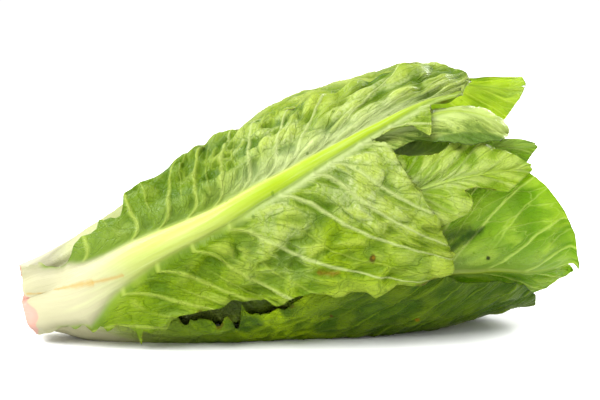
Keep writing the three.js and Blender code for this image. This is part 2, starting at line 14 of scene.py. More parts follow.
import bpy
import numpy as np
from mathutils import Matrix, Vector


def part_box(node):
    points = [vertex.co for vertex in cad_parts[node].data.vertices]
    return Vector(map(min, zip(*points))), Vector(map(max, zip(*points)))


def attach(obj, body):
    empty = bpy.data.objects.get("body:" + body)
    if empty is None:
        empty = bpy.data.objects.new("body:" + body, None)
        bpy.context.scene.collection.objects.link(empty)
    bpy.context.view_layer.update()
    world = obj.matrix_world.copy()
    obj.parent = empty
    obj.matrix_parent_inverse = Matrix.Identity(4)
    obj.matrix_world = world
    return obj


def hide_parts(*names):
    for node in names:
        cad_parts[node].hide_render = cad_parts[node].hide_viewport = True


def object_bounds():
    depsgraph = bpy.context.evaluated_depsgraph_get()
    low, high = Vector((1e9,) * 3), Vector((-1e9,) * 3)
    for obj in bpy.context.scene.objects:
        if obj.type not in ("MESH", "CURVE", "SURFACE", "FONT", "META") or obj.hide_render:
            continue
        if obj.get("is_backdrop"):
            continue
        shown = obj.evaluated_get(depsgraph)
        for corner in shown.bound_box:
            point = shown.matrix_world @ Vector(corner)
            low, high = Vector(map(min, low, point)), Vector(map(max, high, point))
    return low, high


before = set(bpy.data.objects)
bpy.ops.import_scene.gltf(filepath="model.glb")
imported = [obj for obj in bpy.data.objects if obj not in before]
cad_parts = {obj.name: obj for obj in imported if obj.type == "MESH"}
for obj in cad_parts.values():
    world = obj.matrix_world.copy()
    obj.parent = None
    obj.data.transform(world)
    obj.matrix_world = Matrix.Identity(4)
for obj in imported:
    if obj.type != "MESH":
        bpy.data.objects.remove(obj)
cad_low, cad_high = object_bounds()
print("packed nodes:", len(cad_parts), "box", [round(v, 4) for v in (*cad_low, *cad_high)])

# %% [markdown]
# ## The head's own space
#
# A head of lettuce is nearly a cone, so the leaves are easiest to lay out round its axis: how far
# along it (a), which way round (turn) and how far out (radius). The axis climbs from the butt to
# the tips, and sags a little under the leaves' weight. All of it is in millimetres until a mesh is
# made. These are the same driving sizes as the packed solids have, so each fine leaf lands on its
# plain one.

# %% Driving sizes of the head
MM = 0.001
TILT = math.radians(13.8)  # the axis rises towards the tips
BUTT_HEIGHT = 17  # centre of the cut face above the table
STEM_LENGTH = 75
STEM = [(0, 8.8), (8, 8.4), (20, 6.6), (35, 4.9), (55, 3.4), (70, 2.2), (75, 1.4)]  # radius along it
STEM_GAP = 0.4  # the stem keeps this far inside the leaves' feet
ENVELOPE = [(0, 13), (8, 14.4), (20, 19), (35, 26.3), (50, 33.3), (68, 41), (85, 46.5), (110, 51.5),
            (135, 56), (155, 58.5), (175, 59), (200, 57.5), (220, 55), (240, 49)]  # outer radius
SAG = [(90, 0), (130, 0.8), (180, 3), (215, 6), (240, 8)]  # how far the axis droops there
BLADE = 0.8  # thickness of a leaf blade
TABLE_LIFT = 4  # how far every leaf but the undermost keeps off the table

stem_low, stem_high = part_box("stem")
butt_x = stem_low.x / MM + math.sin(TILT) * (STEM[0][1] - STEM_GAP)
butt_y = (stem_low.y + stem_high.y) / 2 / MM
BUTT = np.array([butt_x, butt_y, BUTT_HEIGHT])
AXIS = np.array([math.cos(TILT), 0, math.sin(TILT)])
UP = np.array([-math.sin(TILT), 0, math.cos(TILT)])
FRONT = np.array([0, -1, 0])
print("centre of the cut face, mm:", BUTT.round(3))

# %% [markdown]
# ## Curves through a few sizes
#
# A midrib gets thinner along the leaf in a smooth way, and a margin goes in and out in straight
# nibbles. So two small readers are enough: one draws a smooth curve through its keys, the other
# joins them with straight lines. Both stay level beyond their ends.


# %% Reading a size along a leaf
def along(keys, x):
    """The value at x of a smooth curve through (x, value) keys. A plain number is level."""
    x = np.asarray(x, float)
    if np.isscalar(keys):
        return np.full(x.shape, float(keys))
    knots, values = np.array(keys, float).T
    last = len(knots) - 1
    before = np.maximum(np.arange(last + 1) - 1, 0)
    after = np.minimum(np.arange(last + 1) + 1, last)
    slopes = (values[after] - values[before]) / (knots[after] - knots[before])
    i = np.clip(np.searchsorted(knots, x) - 1, 0, last - 1)
    span = knots[i + 1] - knots[i]
    t = np.clip((x - knots[i]) / span, 0, 1)
    t2, t3 = t * t, t * t * t
    return ((2 * t3 - 3 * t2 + 1) * values[i] + (t3 - 2 * t2 + t) * span * slopes[i]
            + (3 * t2 - 2 * t3) * values[i + 1] + (t3 - t2) * span * slopes[i + 1])


def between(keys, x, column=1):
    """The value at x of the straight lines between keys."""
    table = np.array(keys, float)
    return np.interp(x, table[:, 0], table[:, column])


def smooth_max(a, b, rounding):
    """The larger of a and b, rounded over where they meet."""
    return b + 0.5 * (a - b + np.hypot(a - b, rounding))


def ease(x, low, high):
    """0 below low, 1 above high, and an S curve between them."""
    t = np.clip((x - low) / (high - low), 0, 1)
    return t * t * (3 - 2 * t)


print("a curve from 0 to 2, half way up:", along([(0, 0), (1, 2)], 0.5))


# %% Points of the head's space
def stem_radius(a):
    return np.where(a <= STEM_LENGTH, along(STEM, a), 0)


def head_point(a, turn, radius):
    """A point in millimetres: turn 0 faces the front, a quarter turn faces up."""
    height = radius * np.sin(turn) - along(SAG, a)
    reach = radius * np.cos(turn)
    return BUTT + a[..., None] * AXIS + reach[..., None] * FRONT + height[..., None] * UP


def envelope(a, turn, lift):
    """The head's outer radius, flattened where it comes within a lift of the table."""
    round_radius = along(ENVELOPE, a)
    down = -np.sin(turn) * math.cos(TILT)
    height = BUTT_HEIGHT + a * math.sin(TILT) - along(SAG, a) * math.cos(TILT)
    to_table = (height - lift) / np.maximum(down, 0.2)
    near = np.maximum(2 - np.abs(round_radius - to_table), 0) / 2
    pressed = np.minimum(round_radius, to_table) - near * near * 0.5
    return np.where(down <= 0.2, round_radius, pressed)


print("radius at mid length:", along(ENVELOPE, 120.0).round(1), "mm")

# %% [markdown]
# ## The pile
#
# Leaves in a head press on each other but never pass through each other. Rather than simulate
# that, the head is grown from the inside out. A height map wrapped round the axis remembers how
# far out the leaves laid so far reach, and the next leaf is kept above it. The map is widened and
# blurred first, so that a leaf bridges the hollows between the leaves under it as a stiff one does.

# %% The pile's height map
PILE_STEP = 2.5
PILE_ROWS = 107
PILE_TURNS = 120
pile = np.repeat(stem_radius(np.arange(PILE_ROWS) * PILE_STEP)[:, None], PILE_TURNS, axis=1)


def neighbours(grid):
    """The grid and its eight shifted copies: it wraps round the axis, and ends at both tips."""
    rows = np.arange(PILE_ROWS)
    shifted = [grid[np.clip(rows + step, 0, PILE_ROWS - 1)] for step in (-1, 0, 1)]
    return np.array([np.roll(rows_moved, turn, axis=1) for rows_moved in shifted for turn in (-1, 0, 1)])


def smoothed_pile():
    grid = pile
    for _ in range(2):
        grid = neighbours(grid).max(axis=0)
    for _ in range(3):
        grid = neighbours(grid).mean(axis=0)
    return grid


def pile_at(grid, a, turn):
    """The height map read between its cells."""
    x = np.clip(a / PILE_STEP, 0, PILE_ROWS - 1.001)
    y = np.mod(turn / (2 * np.pi) * PILE_TURNS, PILE_TURNS)
    i, j = x.astype(int), y.astype(int) % PILE_TURNS
    k = (j + 1) % PILE_TURNS
    s, t = x - i, y - np.floor(y)
    near = grid[i, j] * (1 - t) + grid[i, k] * t
    far = grid[i + 1, j] * (1 - t) + grid[i + 1, k] * t
    return near * (1 - s) + far * s


def calmed(grid, reach):
    """The pile with its steps filled near the butt, so that a wide petiole lies smooth over them."""
    full = grid
    for _ in range(2):
        full = neighbours(full).max(axis=0)
    for _ in range(9):
        full = neighbours(full).mean(axis=0)
    row_a = np.arange(PILE_ROWS)[:, None] * PILE_STEP
    share = ease(row_a, -4, 8) * (1 - ease(row_a, 0.45 * reach, reach))
    return grid + (np.maximum(full, grid) - grid) * share


def add_to_pile(a, turn, top):
    row = np.round(a / PILE_STEP).astype(int)
    column = np.round(turn / (2 * np.pi) * PILE_TURNS).astype(int) % PILE_TURNS
    inside = (row >= 0) & (row < PILE_ROWS)
    np.maximum.at(pile, (row[inside], column[inside]), top[inside])


print("height map:", pile.shape, "cells")

# %% [markdown]
# ## The rule of one leaf
#
# Every leaf follows one rule with two addresses: u runs up the midrib from foot to tip, and c runs
# across from one margin (-1) to the other (1). The midrib takes the middle share of c, and its
# thickness swells outwards, as the back of a lettuce leaf does. Each side of the blade says how
# far ahead of the midrib its margin lies and how far round the head it reaches.

# %% The midrib's sizes
RIB_EDGE = 0.3  # share of c that the midrib takes
RIB_INWARD = 0.25  # share of its thickness on the inner face
RIB_WIDTH = [(0, 20), (8, 15), (16, 11.5), (24, 8.6), (33, 7.2), (50, 6.4), (65, 5.9), (80, 5.1),
             (98, 4.6), (121, 4.1), (145, 3.1), (168, 2.3), (184, 1.2), (200, 0.5)]  # half its width
RIB_HEIGHT = [(0, 3.6), (20, 4), (50, 4), (100, 3.2), (140, 2.2), (168, 1.3), (184, 0.6), (200, 0.2)]
CLEARANCE = [(8, 0.35), (22, 0.8), (60, 1.2)]  # least gap to the leaf inside, with room for relief


def by_side(leaf, u, c, column):
    """A measure of the side of the blade that c is on."""
    return np.where(c < 0, between(leaf["down"], u, column), between(leaf["up"], u, column))


def leaf_place(leaf, u, c):
    """Where u, c lies on the flat leaf, and how thick the midrib is there."""
    spot = leaf["start"] + (leaf["reach"] - leaf["start"]) * u
    ahead = by_side(leaf, u, c, 1)
    lobe = 1 + leaf["lobes"] * np.sin(40 * u + 3 * leaf["phase"])
    own = by_side(leaf, u, c, 2)
    calm = sum(by_side(leaf, np.clip(u + step, 0, 1), c, 2) for step in np.linspace(-0.03, 0.03, 7)) / 7
    swing = np.radians((calm + (own - calm) * c ** 2) * lobe)
    shell = along(leaf["shell"], u)
    width = np.hypot(ahead, swing * along(ENVELOPE, spot + ahead / 2) * np.maximum(shell, 0.2))
    scaled = spot * 200 / leaf["reach"]
    rib_half = np.minimum(along(RIB_WIDTH, scaled) * leaf["rib"], 0.92 * width)
    share = np.abs(c)
    blade_out = rib_half + (width - rib_half) * (share - RIB_EDGE) / (1 - RIB_EDGE)
    out = np.where(share < RIB_EDGE, rib_half * share / RIB_EDGE, blade_out)
    foot = np.minimum(0.3 + 6 * u, 1) if leaf["start"] > 0 else 1
    crown = np.maximum(1 - (out / rib_half) ** 2, 0) ** 1.5
    rib = along(RIB_HEIGHT, scaled) * leaf["rib"] * foot * crown
    return {"spot": spot, "ahead": ahead, "swing": swing, "shell": shell, "width": width,
            "rib_half": rib_half, "out": out, "rib": rib}


print("the midrib is", 2 * RIB_WIDTH[0][1], "mm wide at the foot")

# %% [markdown]
# ## What a smooth blade lacks
#
# Two things happen to a romaine blade as it grows. The flesh grows faster than the veins, so the
# blade lies in soft lumps, more so towards the margin, where it ruffles. And the margin itself is
# a row of small uneven teeth, nibbled and torn in places. Lumps and ruffles are sums of a few
# waves in fixed random directions. Teeth are a saw wave whose step and depth wander.

# %% Lumps, ruffles and teeth
BROAD_LUMP, SMALL_LUMP, RUFFLE = 21, 11, 17  # mm from one to the next
TOOTH = (3.2, 9.5)  # shortest and longest tooth, mm
TOOTH_COUNT = 90


def lumps(seed, size, x, y):
    """Soft lumps about size millimetres apart, mostly from -1 to 1."""
    random = np.random.default_rng(seed)
    total = np.zeros(np.broadcast(x, y).shape)
    for _ in range(8):
        bearing, phase = random.uniform(0, 2 * np.pi, 2)
        pitch = size * random.uniform(0.7, 1.5)
        total += np.sin(2 * np.pi * (x * np.cos(bearing) + y * np.sin(bearing)) / pitch + phase)
    return np.clip(total / 2.6, -1, 1)


def teeth(seed, run):
    """How far the margin's teeth stand out at run millimetres along it, from 0 to 1."""
    random = np.random.default_rng(seed)
    starts = np.cumsum(random.uniform(*TOOTH, TOOTH_COUNT)) - 12
    depths = random.uniform(0.15, 1, TOOTH_COUNT) ** 1.6
    i = np.clip(np.searchsorted(starts, run) - 1, 0, TOOTH_COUNT - 2)
    share = (run - starts[i]) / (starts[i + 1] - starts[i])
    return depths[i] * np.where(share < 0.72, share / 0.72, (1 - share) / 0.28) ** 1.3


print("one tooth is", TOOTH[0], "to", TOOTH[1], "mm long; broad lumps are", BROAD_LUMP, "mm apart")


# %% Laying a leaf on the pile
def leaf_polar(leaf, u, c, beneath):
    """The middle of the blade in the head's space, laid on what lies beneath it."""
    place = leaf_place(leaf, u, c)
    side = np.where(c < 0, -1, 1)
    share = np.abs(c)
    seed = leaf["seed"]
    tooth = np.where(c < 0, teeth(seed + 1, u * leaf["reach"]), teeth(seed + 2, u * leaf["reach"]))
    nibble = leaf["teeth"] * tooth * ease(share, 0.86, 1) * ease(place["width"], 4, 14)
    across = (place["out"] + nibble) / place["width"]
    a = place["spot"] + place["ahead"] * (1 - (1 - across) * np.abs(1 - across))
    turn = np.radians(along(leaf["turn"], u)) + side * place["swing"] * across
    core = np.maximum(stem_radius(a), 1)
    sunk = (1 - RIB_INWARD) * place["rib"] * np.clip(1.3 - a / 60, 0, 1)
    wave = np.sin(u * leaf["waves"] * 2 * np.pi + leaf["phase"] + side) * leaf["wave"]
    keel = along(leaf.get("keel", 0), u)
    bend = keel + (along(leaf.get("flare", 0), u) + wave - keel) * across ** 2
    wish = core + (envelope(a, turn, 0 if leaf.get("rests") else TABLE_LIFT) - core) * place["shell"]
    least = (pile_at(beneath, a, turn) + between(CLEARANCE, a) + BLADE / 2
             + RIB_INWARD * place["rib"])
    y = side * place["swing"] * across * along(ENVELOPE, a) * np.maximum(place["shell"], 0.2)
    free = ease(a, 35, 85) * ease(place["out"] - place["rib_half"], 0, 9)
    free = free * (1 - leaf.get("even", 0) * (c < 0) * ease(share, 0.45, 0.9))
    lump_depth = leaf["lumps"] * free
    ruffle_depth = leaf["ruffle"] * ease(share, 0.62, 1) * ease(a, 30, 70)
    lump = lumps(seed, BROAD_LUMP, a, y) * 0.7 + lumps(seed + 5, SMALL_LUMP, a, y) * 0.3
    ruffle = np.sin(2 * np.pi * a / RUFFLE + 2.5 * lumps(seed + 9, 60, a, y) + side)
    swell = lump_depth * (0.5 + 0.5 * lump) + ruffle_depth * (0.5 + 0.5 * ruffle)
    settled = wish - BLADE / 2 - sunk + bend - (lump_depth + ruffle_depth) / 2
    radius = smooth_max(settled, least, 0.8) + swell
    return {**place, "a": a, "turn": turn, "radius": radius, "y": y, "lump": lump * free,
            "to_margin": place["width"] * (1 - np.minimum(across, 1))}


print("a leaf keeps", CLEARANCE[0][1], "to", CLEARANCE[-1][1], "mm or more to the leaf inside it")

# %% [markdown]
# ## Where the side veins run
#
# Side veins leave the midrib almost along it, bend out across the blade, then forward again
# towards the tip. To draw lines and raise ridges on them, each point of the blade gets a vein
# number: a whole number on each vein, and a fraction of the way to the next one in between. A
# smooth number like this stays sharp between mesh points, where a painted line would blur.


# %% Numbering the side veins
def side_veins(leaf, name):
    """(start, lean) of each side vein: where it leaves the midrib, and how far forward it goes."""
    if name in leaf.get("veins", {}):
        return np.array(leaf["veins"][name], float)
    random = np.random.default_rng(leaf["seed"] + (11 if name == "up" else 12))
    gap = leaf["vein_gap"]
    starts = np.arange(0, leaf["reach"], gap)
    starts = starts + random.uniform(-0.22, 0.22, len(starts)) * gap
    leans = 0.35 + 1.15 * (np.maximum(starts, 0) / leaf["reach"]) ** 1.5
    return np.column_stack([starts, leans])


def vein_number(veins, a, run):
    """The vein number at a, and the gap between veins there, run millimetres off the midrib."""
    starts, leans = veins[:, 0], veins[:, 1]
    run = np.maximum(run, 0)[..., None]
    crossing = starts + 5 * (1 - np.exp(-run / 2)) + leans * run + 0.006 * run ** 2
    gaps = np.diff(crossing, axis=-1)
    shares = np.clip((a[..., None] - crossing[..., :-1]) / gaps, 0, 1)
    number = shares.sum(axis=-1)
    number = number + np.minimum(a - crossing[..., 0], 0) / gaps[..., 0]
    number = number + np.maximum(a - crossing[..., -1], 0) / gaps[..., -1]
    middles = np.clip(number - 0.5, 0, gaps.shape[-1] - 1.001)
    low = middles.astype(int)
    part = middles - low
    gap = (np.take_along_axis(gaps, low[..., None], -1)[..., 0] * (1 - part)
           + np.take_along_axis(gaps, low[..., None] + 1, -1)[..., 0] * part)
    return number, gap


plain_veins = side_veins({"seed": 1, "vein_gap": 17, "reach": 200}, "up")
print("side veins on one side of a plain leaf:", len(plain_veins))

# %% [markdown]
# ## From the rule to a closed mesh
#
# A blade is two faces over one grid, joined round the margin, so that it is a real body and not a
# sheet. The grid is closer over the midrib, and the flesh thins out to the margin. At the butt the
# feet of the outer leaves press on the stem, so their inner face is filled in towards it. The
# knife ran a little aslant through the lower side of the front leaf, which leaves a bevel there.


# %% One fine blade
def stations(leaf):
    rows, columns = leaf["grid"]
    rib_columns = max(round(columns * 0.12), 3)
    rib_share = np.linspace(0, RIB_EDGE, rib_columns + 1)
    blade_share = np.linspace(RIB_EDGE, 1, columns // 2 - rib_columns + 1)[1:]
    share = np.concatenate([rib_share, blade_share])
    return np.meshgrid(np.linspace(0, 1, rows + 1), np.concatenate([-share[:0:-1], share]), indexing="ij")


def shell_faces(rows, columns):
    """Quads over both faces of a grid and round its rim, all facing out."""
    point = np.arange((rows + 1) * (columns + 1)).reshape(rows + 1, columns + 1)
    outer, inner = point * 2, point * 2 + 1

    def quads(a, b, c, d):
        return np.stack([a, b, c, d], axis=-1).reshape(-1, 4)

    return np.concatenate([
        quads(outer[:-1, :-1], outer[1:, :-1], outer[1:, 1:], outer[:-1, 1:]),
        quads(inner[:-1, :-1], inner[:-1, 1:], inner[1:, 1:], inner[1:, :-1]),
        quads(outer[:-1, 0], inner[:-1, 0], inner[1:, 0], outer[1:, 0]),
        quads(outer[:-1, -1], outer[1:, -1], inner[1:, -1], inner[:-1, -1]),
        quads(outer[0, :-1], outer[0, 1:], inner[0, 1:], inner[0, :-1]),
        quads(outer[-1, :-1], inner[-1, :-1], inner[-1, 1:], outer[-1, 1:])])


def grid_mesh(name, points, faces):
    """A smooth mesh from points in millimetres."""
    mesh = bpy.data.meshes.new(name)
    mesh.vertices.add(len(points))
    mesh.vertices.foreach_set("co", (points * MM).astype(np.float32).ravel())
    mesh.loops.add(faces.size)
    mesh.loops.foreach_set("vertex_index", faces.astype(np.int32).ravel())
    mesh.polygons.add(len(faces))
    mesh.polygons.foreach_set("loop_start", np.arange(0, faces.size, faces.shape[1], dtype=np.int32))
    mesh.update(calc_edges=True)
    mesh.shade_smooth()
    return mesh


def note(mesh, name, *columns):
    """Keeps three numbers for every point of the mesh."""
    layer = mesh.attributes.new(name, "FLOAT_VECTOR", "POINT")
    layer.data.foreach_set("vector", np.stack(columns, axis=-1).astype(np.float32).ravel())


print("a blade of 2 by 2 cells has", len(shell_faces(2, 2)), "faces")

# %% The two faces of a blade
CUT_REACH = 0.9  # how far up a leaf the dried cut shows
FOOT_FILL = (5, 18)  # the filled foot fades out between these places along the axis


def blade_faces(leaf, lie):
    """Outer and inner points of a blade, which way is out, and how far up the cut shows."""
    turned = np.degrees(lie["turn"])
    slanted = (1 - ease(turned, 6, 24)) * ease(turned, -48, -22) * bool(leaf.get("slant"))
    lie["a"] = lie["a"] - leaf.get("slant", 0) * slanted * (1 - ease(lie["spot"], 0, 12))
    middle = head_point(lie["a"], lie["turn"], lie["radius"])
    normal = -np.cross(np.gradient(middle, axis=1), np.gradient(middle, axis=0))
    normal /= np.linalg.norm(normal, axis=-1, keepdims=True)
    half = BLADE / 2 * (0.45 + 0.55 * ease(lie["to_margin"], 0, 4))
    cut_reach = CUT_REACH + slanted * (2.2 + 1.5 * lumps(leaf["seed"], 6, lie["y"], 0))
    bevel = 1 - slanted * (1 - ease(lie["a"], -3, cut_reach))
    outer = middle + normal * ((half + (1 - RIB_INWARD) * lie["rib"]) * bevel)[..., None]
    just_under = pile_at(neighbours(pile).max(axis=0), lie["a"], lie["turn"])
    gap = lie["radius"] - just_under - half - RIB_INWARD * lie["rib"] - 0.1
    filled = np.clip(gap, 0, 6) * (1 - ease(lie["a"], *FOOT_FILL)) * (leaf["start"] == 0)
    radial = middle - head_point(lie["a"], lie["turn"], lie["radius"] - 1)
    inner = middle - normal * (half + RIB_INWARD * lie["rib"])[..., None] - radial * filled[..., None]
    if leaf.get("rests"):
        outer[..., 2] = np.where(outer[..., 2] < 0.3, 0, outer[..., 2])
        floor = np.where(outer[..., 2] < 0.01, BLADE, 0)
        inner[..., 2] = np.maximum(inner[..., 2], floor)
    return outer, inner, normal, cut_reach


print("a blade has two faces,", BLADE, "mm apart")

# %% [markdown]
# Each point keeps notes for the steps that follow: its vein number, its place on the flat leaf,
# how much midrib it has, whether it stands on a lump, and which way is out. The pile remembers
# the leaf as soon as it lies, before the next one is laid.


# %% Notes, and the whole blade
def note_blade(mesh, leaf, c, lie, room, normal, cut_reach):
    def both(values):
        return np.repeat(np.broadcast_to(values, c.shape)[..., None], 2, axis=2).ravel()

    run = np.abs(lie["y"]) - lie["rib_half"]
    up = vein_number(side_veins(leaf, "up"), lie["a"], run)
    down = vein_number(side_veins(leaf, "down"), lie["a"], run)
    number, gap = (np.where(c < 0, d, v) for d, v in zip(down, up))
    inward = np.tile([0.0, 1.0], c.size)
    note(mesh, "vein_map", both(number), both(gap), both(np.maximum(run, 0)))
    note(mesh, "leaf_map", both(lie["a"]), both(lie["y"]), both(lie["to_margin"]))
    note(mesh, "flesh_map", both(lie["out"] - lie["rib_half"]), inward, both(lie["rib"]))
    note(mesh, "form_map", both(cut_reach), both(lie["lump"]), both(0))
    note(mesh, "outward", *(both(normal[..., n] * room) for n in range(3)))


def blade_mesh(leaf):
    """Lays one leaf on the pile and returns its closed blade."""
    u, c = stations(leaf)
    beneath = smoothed_pile()
    if "calm" in leaf:
        beneath = calmed(beneath, leaf["calm"])
    lie = leaf_polar(leaf, u, c, beneath)
    outer, inner, normal, cut_reach = blade_faces(leaf, lie)
    leaf["foot"] = (outer[0] + inner[0]) / 2
    add_to_pile(lie["a"], lie["turn"], lie["radius"] + BLADE / 2 + (1 - RIB_INWARD) * lie["rib"])
    points = np.stack([outer, inner], axis=2).reshape(-1, 3)
    mesh = grid_mesh(leaf["name"], points, shell_faces(u.shape[0] - 1, u.shape[1] - 1))
    rests_flat = ease(outer[..., 2], 0.2, 1.5) if leaf.get("rests") else 1
    room = ease(lie["a"], 22, 60) * ease(lie["to_margin"], 0, 1.5) * rests_flat
    note_blade(mesh, leaf, c, lie, room, normal, cut_reach)
    return mesh


print("notes that a blade keeps: vein_map, leaf_map, flesh_map, form_map, outward")

# %% [markdown]
# ## One set of marks for relief and for colour
#
# The same vein must be a ridge in the mesh and a pale line in the colour, or the leaf looks
# printed. Blender's shader nodes and Geometry Nodes share their maths and texture nodes, so one
# function can draw the vein marks in either kind of tree, from the notes that each point keeps.


# %% A small helper that adds nodes
class Recipe:
    """Adds nodes to one tree and joins them. A value may be a number or another node's output."""

    def __init__(self, tree):
        self.tree = tree
        tree.nodes.clear()

    def add(self, kind, inputs, **settings):
        node = self.tree.nodes.new(kind)
        for name, value in settings.items():
            setattr(node, name, value)
        for key, value in inputs.items():
            if isinstance(value, bpy.types.NodeSocket):
                self.tree.links.new(value, node.inputs[key])
            else:
                node.inputs[key].default_value = value
        return node

    def maths(self, operation, *values):
        return self.add("ShaderNodeMath", dict(enumerate(values)), operation=operation).outputs[0]

    def plus(self, *values):
        return reduce(partial(self.maths, "ADD"), values)

    def minus(self, *values):
        return reduce(partial(self.maths, "SUBTRACT"), values)

    def times(self, *values):
        return reduce(partial(self.maths, "MULTIPLY"), values)

    def fade(self, value, low, high, start=0.0, end=1.0):
        """start below low, end above high, with an S curve between."""
        inputs = {"Value": value, "From Min": low, "From Max": high, "To Min": start, "To Max": end}
        return self.add("ShaderNodeMapRange", inputs, interpolation_type="SMOOTHSTEP").outputs[0]

    def parts(self, name):
        """The three numbers of a note that the mesh keeps."""
        if self.tree.type == "GEOMETRY":
            read = self.add("GeometryNodeInputNamedAttribute", {"Name": name}, data_type="FLOAT_VECTOR")
            vector = read.outputs[0]
        else:
            vector = self.add("ShaderNodeAttribute", {}, attribute_name=name).outputs["Vector"]
        return self.add("ShaderNodeSeparateXYZ", {0: vector}).outputs[:]

    def join(self, x, y, z=0.0):
        return self.add("ShaderNodeCombineXYZ", {"X": x, "Y": y, "Z": z}).outputs[0]

    def noise(self, vector, scale, detail=2.0, roughness=0.5):
        inputs = {"Vector": vector, "Scale": scale, "Detail": detail, "Roughness": roughness}
        return self.add("ShaderNodeTexNoise", inputs).outputs[0]

    def cells(self, vector, scale, feature="DISTANCE_TO_EDGE"):
        settings = {"feature": feature, "voronoi_dimensions": "2D"}
        return self.add("ShaderNodeTexVoronoi", {"Vector": vector, "Scale": scale}, **settings)

    def tint(self, share, colour, over, mode="MIX"):
        """Lays a colour over another by a share."""
        inputs = {0: share, 6: over, 7: colour}
        settings = {"data_type": "RGBA", "blend_type": mode}
        return self.add("ShaderNodeMix", inputs, **settings).outputs[2]

    def coated(self, colour, coats):
        """Lays coats over a colour, one after another. Each coat is (share, its colour)."""
        for share, ink in coats:
            colour = self.tint(share, ink, colour)
        return colour


print("a recipe can add", len([name for name in vars(Recipe) if name[0] != "_"]), "kinds of step")


# %% New materials and new trees
def new_material(name):
    """An empty material, and the recipe that fills it."""
    material = bpy.data.materials.new(name)
    material.use_nodes = True
    return material, Recipe(material.node_tree)


def new_tree(name, takes, inputs, gives):
    """An empty Geometry Nodes tree, and the identifier of each of its inputs."""
    tree = bpy.data.node_groups.new(name, "GeometryNodeTree")
    tree.interface.new_socket(takes, in_out="INPUT", socket_type="NodeSocketGeometry")
    sockets = {}
    for socket_name, kind in inputs:
        made = tree.interface.new_socket(socket_name, in_out="INPUT", socket_type="NodeSocket" + kind)
        sockets[socket_name] = made.identifier
    tree.interface.new_socket(gives, in_out="OUTPUT", socket_type="NodeSocketGeometry")
    return tree, sockets


print("helpers ready: new_material, new_tree")


# %% The vein marks
def vein_marks(r):
    """Side veins, their forks and the net from 0 to 1, and how far panels and pillows stand out."""
    number, gap, run = r.parts("vein_map")
    beyond = r.parts("flesh_map")[0]
    on_blade = r.fade(beyond, -0.5, 3.5)
    wander = r.noise(r.join(r.times(run, 0.09), number), 1.3)
    number = r.plus(number, r.times(r.minus(wander, 0.5), 0.16))
    from_vein = r.maths("ABSOLUTE", r.minus(number, r.maths("ROUND", number)))
    from_vein = r.times(from_vein, gap, 0.75)
    half_width = r.fade(run, 0.0, 60.0, 1.3, 0.45)
    side = r.fade(r.maths("DIVIDE", from_vein, half_width), 0.0, 1.0, 1.0, 0.0)
    side = r.times(side, r.fade(beyond, -1.5, 1.0))
    fraction = r.maths("FRACT", r.plus(number, 100.0))
    forked = r.fade(run, 6.0, 30.0, 0.5, 0.34)
    from_branch = r.times(r.maths("ABSOLUTE", r.minus(fraction, forked)), gap, 0.75)
    branch = r.times(r.fade(from_branch, 0.0, 0.6, 1.0, 0.0), r.fade(run, 5.0, 14.0))

    panel = r.join(r.times(run, 0.125), r.times(number, 2.3))
    bend = r.noise(panel, 1.1)
    panel = r.join(r.plus(r.times(run, 0.125), bend), r.plus(r.times(number, 2.3), r.times(bend, 0.8)))
    from_net = r.cells(panel, 1.0).outputs["Distance"]
    net = r.fade(from_net, 0.0, 0.06, 1.0, 0.0)
    draw = r.cells(panel, 1.0, "F1").outputs["Color"]
    draw = r.add("ShaderNodeSeparateXYZ", {0: draw}).outputs[0]
    bulge = r.times(r.fade(from_net, 0.0, 0.42), r.fade(draw, 0.15, 0.85, -1.0, 0.8))
    lift = r.noise(r.join(r.times(run, 0.03), r.times(number, 0.7)), 1.0)
    pillow = r.times(r.fade(from_vein, 0.0, 4.5), r.fade(run, 4.0, 16.0),
                     r.fade(lift, 0.35, 0.62, -0.7, 1.0))
    return {"side": side, "branch": r.times(branch, on_blade),
            "net": r.times(net, on_blade), "bulge": r.times(bulge, on_blade),
            "pillow": pillow, "panel": panel, "on_blade": on_blade}


print("one set of vein marks, for relief and for colour")

# %% [markdown]
# ## Relief by Geometry Nodes
#
# The ridges and puckers repeat all over every blade and follow its surface, so a Geometry Nodes
# tree is the natural tool: it moves each point along the direction that the point keeps as
# outward, and both faces move together, so the flesh keeps its thickness. The panels between
# veins puff by uneven amounts, drawn from the same cells that draw the net.

# %% The relief tree
relief_inputs = [("Side vein height", "Float"), ("Branch height", "Float"), ("Pillow height", "Float"),
                 ("Pucker height", "Float"), ("Finish", "Material")]
relief_tree, relief_sockets = new_tree("leaf_relief", "Blade", relief_inputs, "Blade")


def build_relief(tree):
    r = Recipe(tree)
    given = r.add("NodeGroupInput", {}).outputs
    marks = vein_marks(r)
    height = r.plus(*(r.times(marks[mark], given[title]) for mark, title in (
        ("side", "Side vein height"), ("branch", "Branch height"), ("pillow", "Pillow height"),
        ("bulge", "Pucker height"))))
    outward = r.add("GeometryNodeInputNamedAttribute", {"Name": "outward"}, data_type="FLOAT_VECTOR")
    shift = r.add("ShaderNodeVectorMath", {0: outward.outputs[0], "Scale": height}, operation="SCALE")
    shift = r.add("ShaderNodeVectorMath", {0: shift.outputs[0], "Scale": MM}, operation="SCALE")
    moved = r.add("GeometryNodeSetPosition", {"Geometry": given["Blade"], "Offset": shift.outputs[0]})
    real = r.add("GeometryNodeRealizeInstances", {"Geometry": moved.outputs[0]})
    coated = r.add("GeometryNodeSetMaterial", {"Geometry": real.outputs[0], "Material": given["Finish"]})
    r.add("NodeGroupOutput", {"Blade": coated.outputs[0]})


build_relief(relief_tree)
print("relief tree:", len(relief_tree.nodes), "nodes")


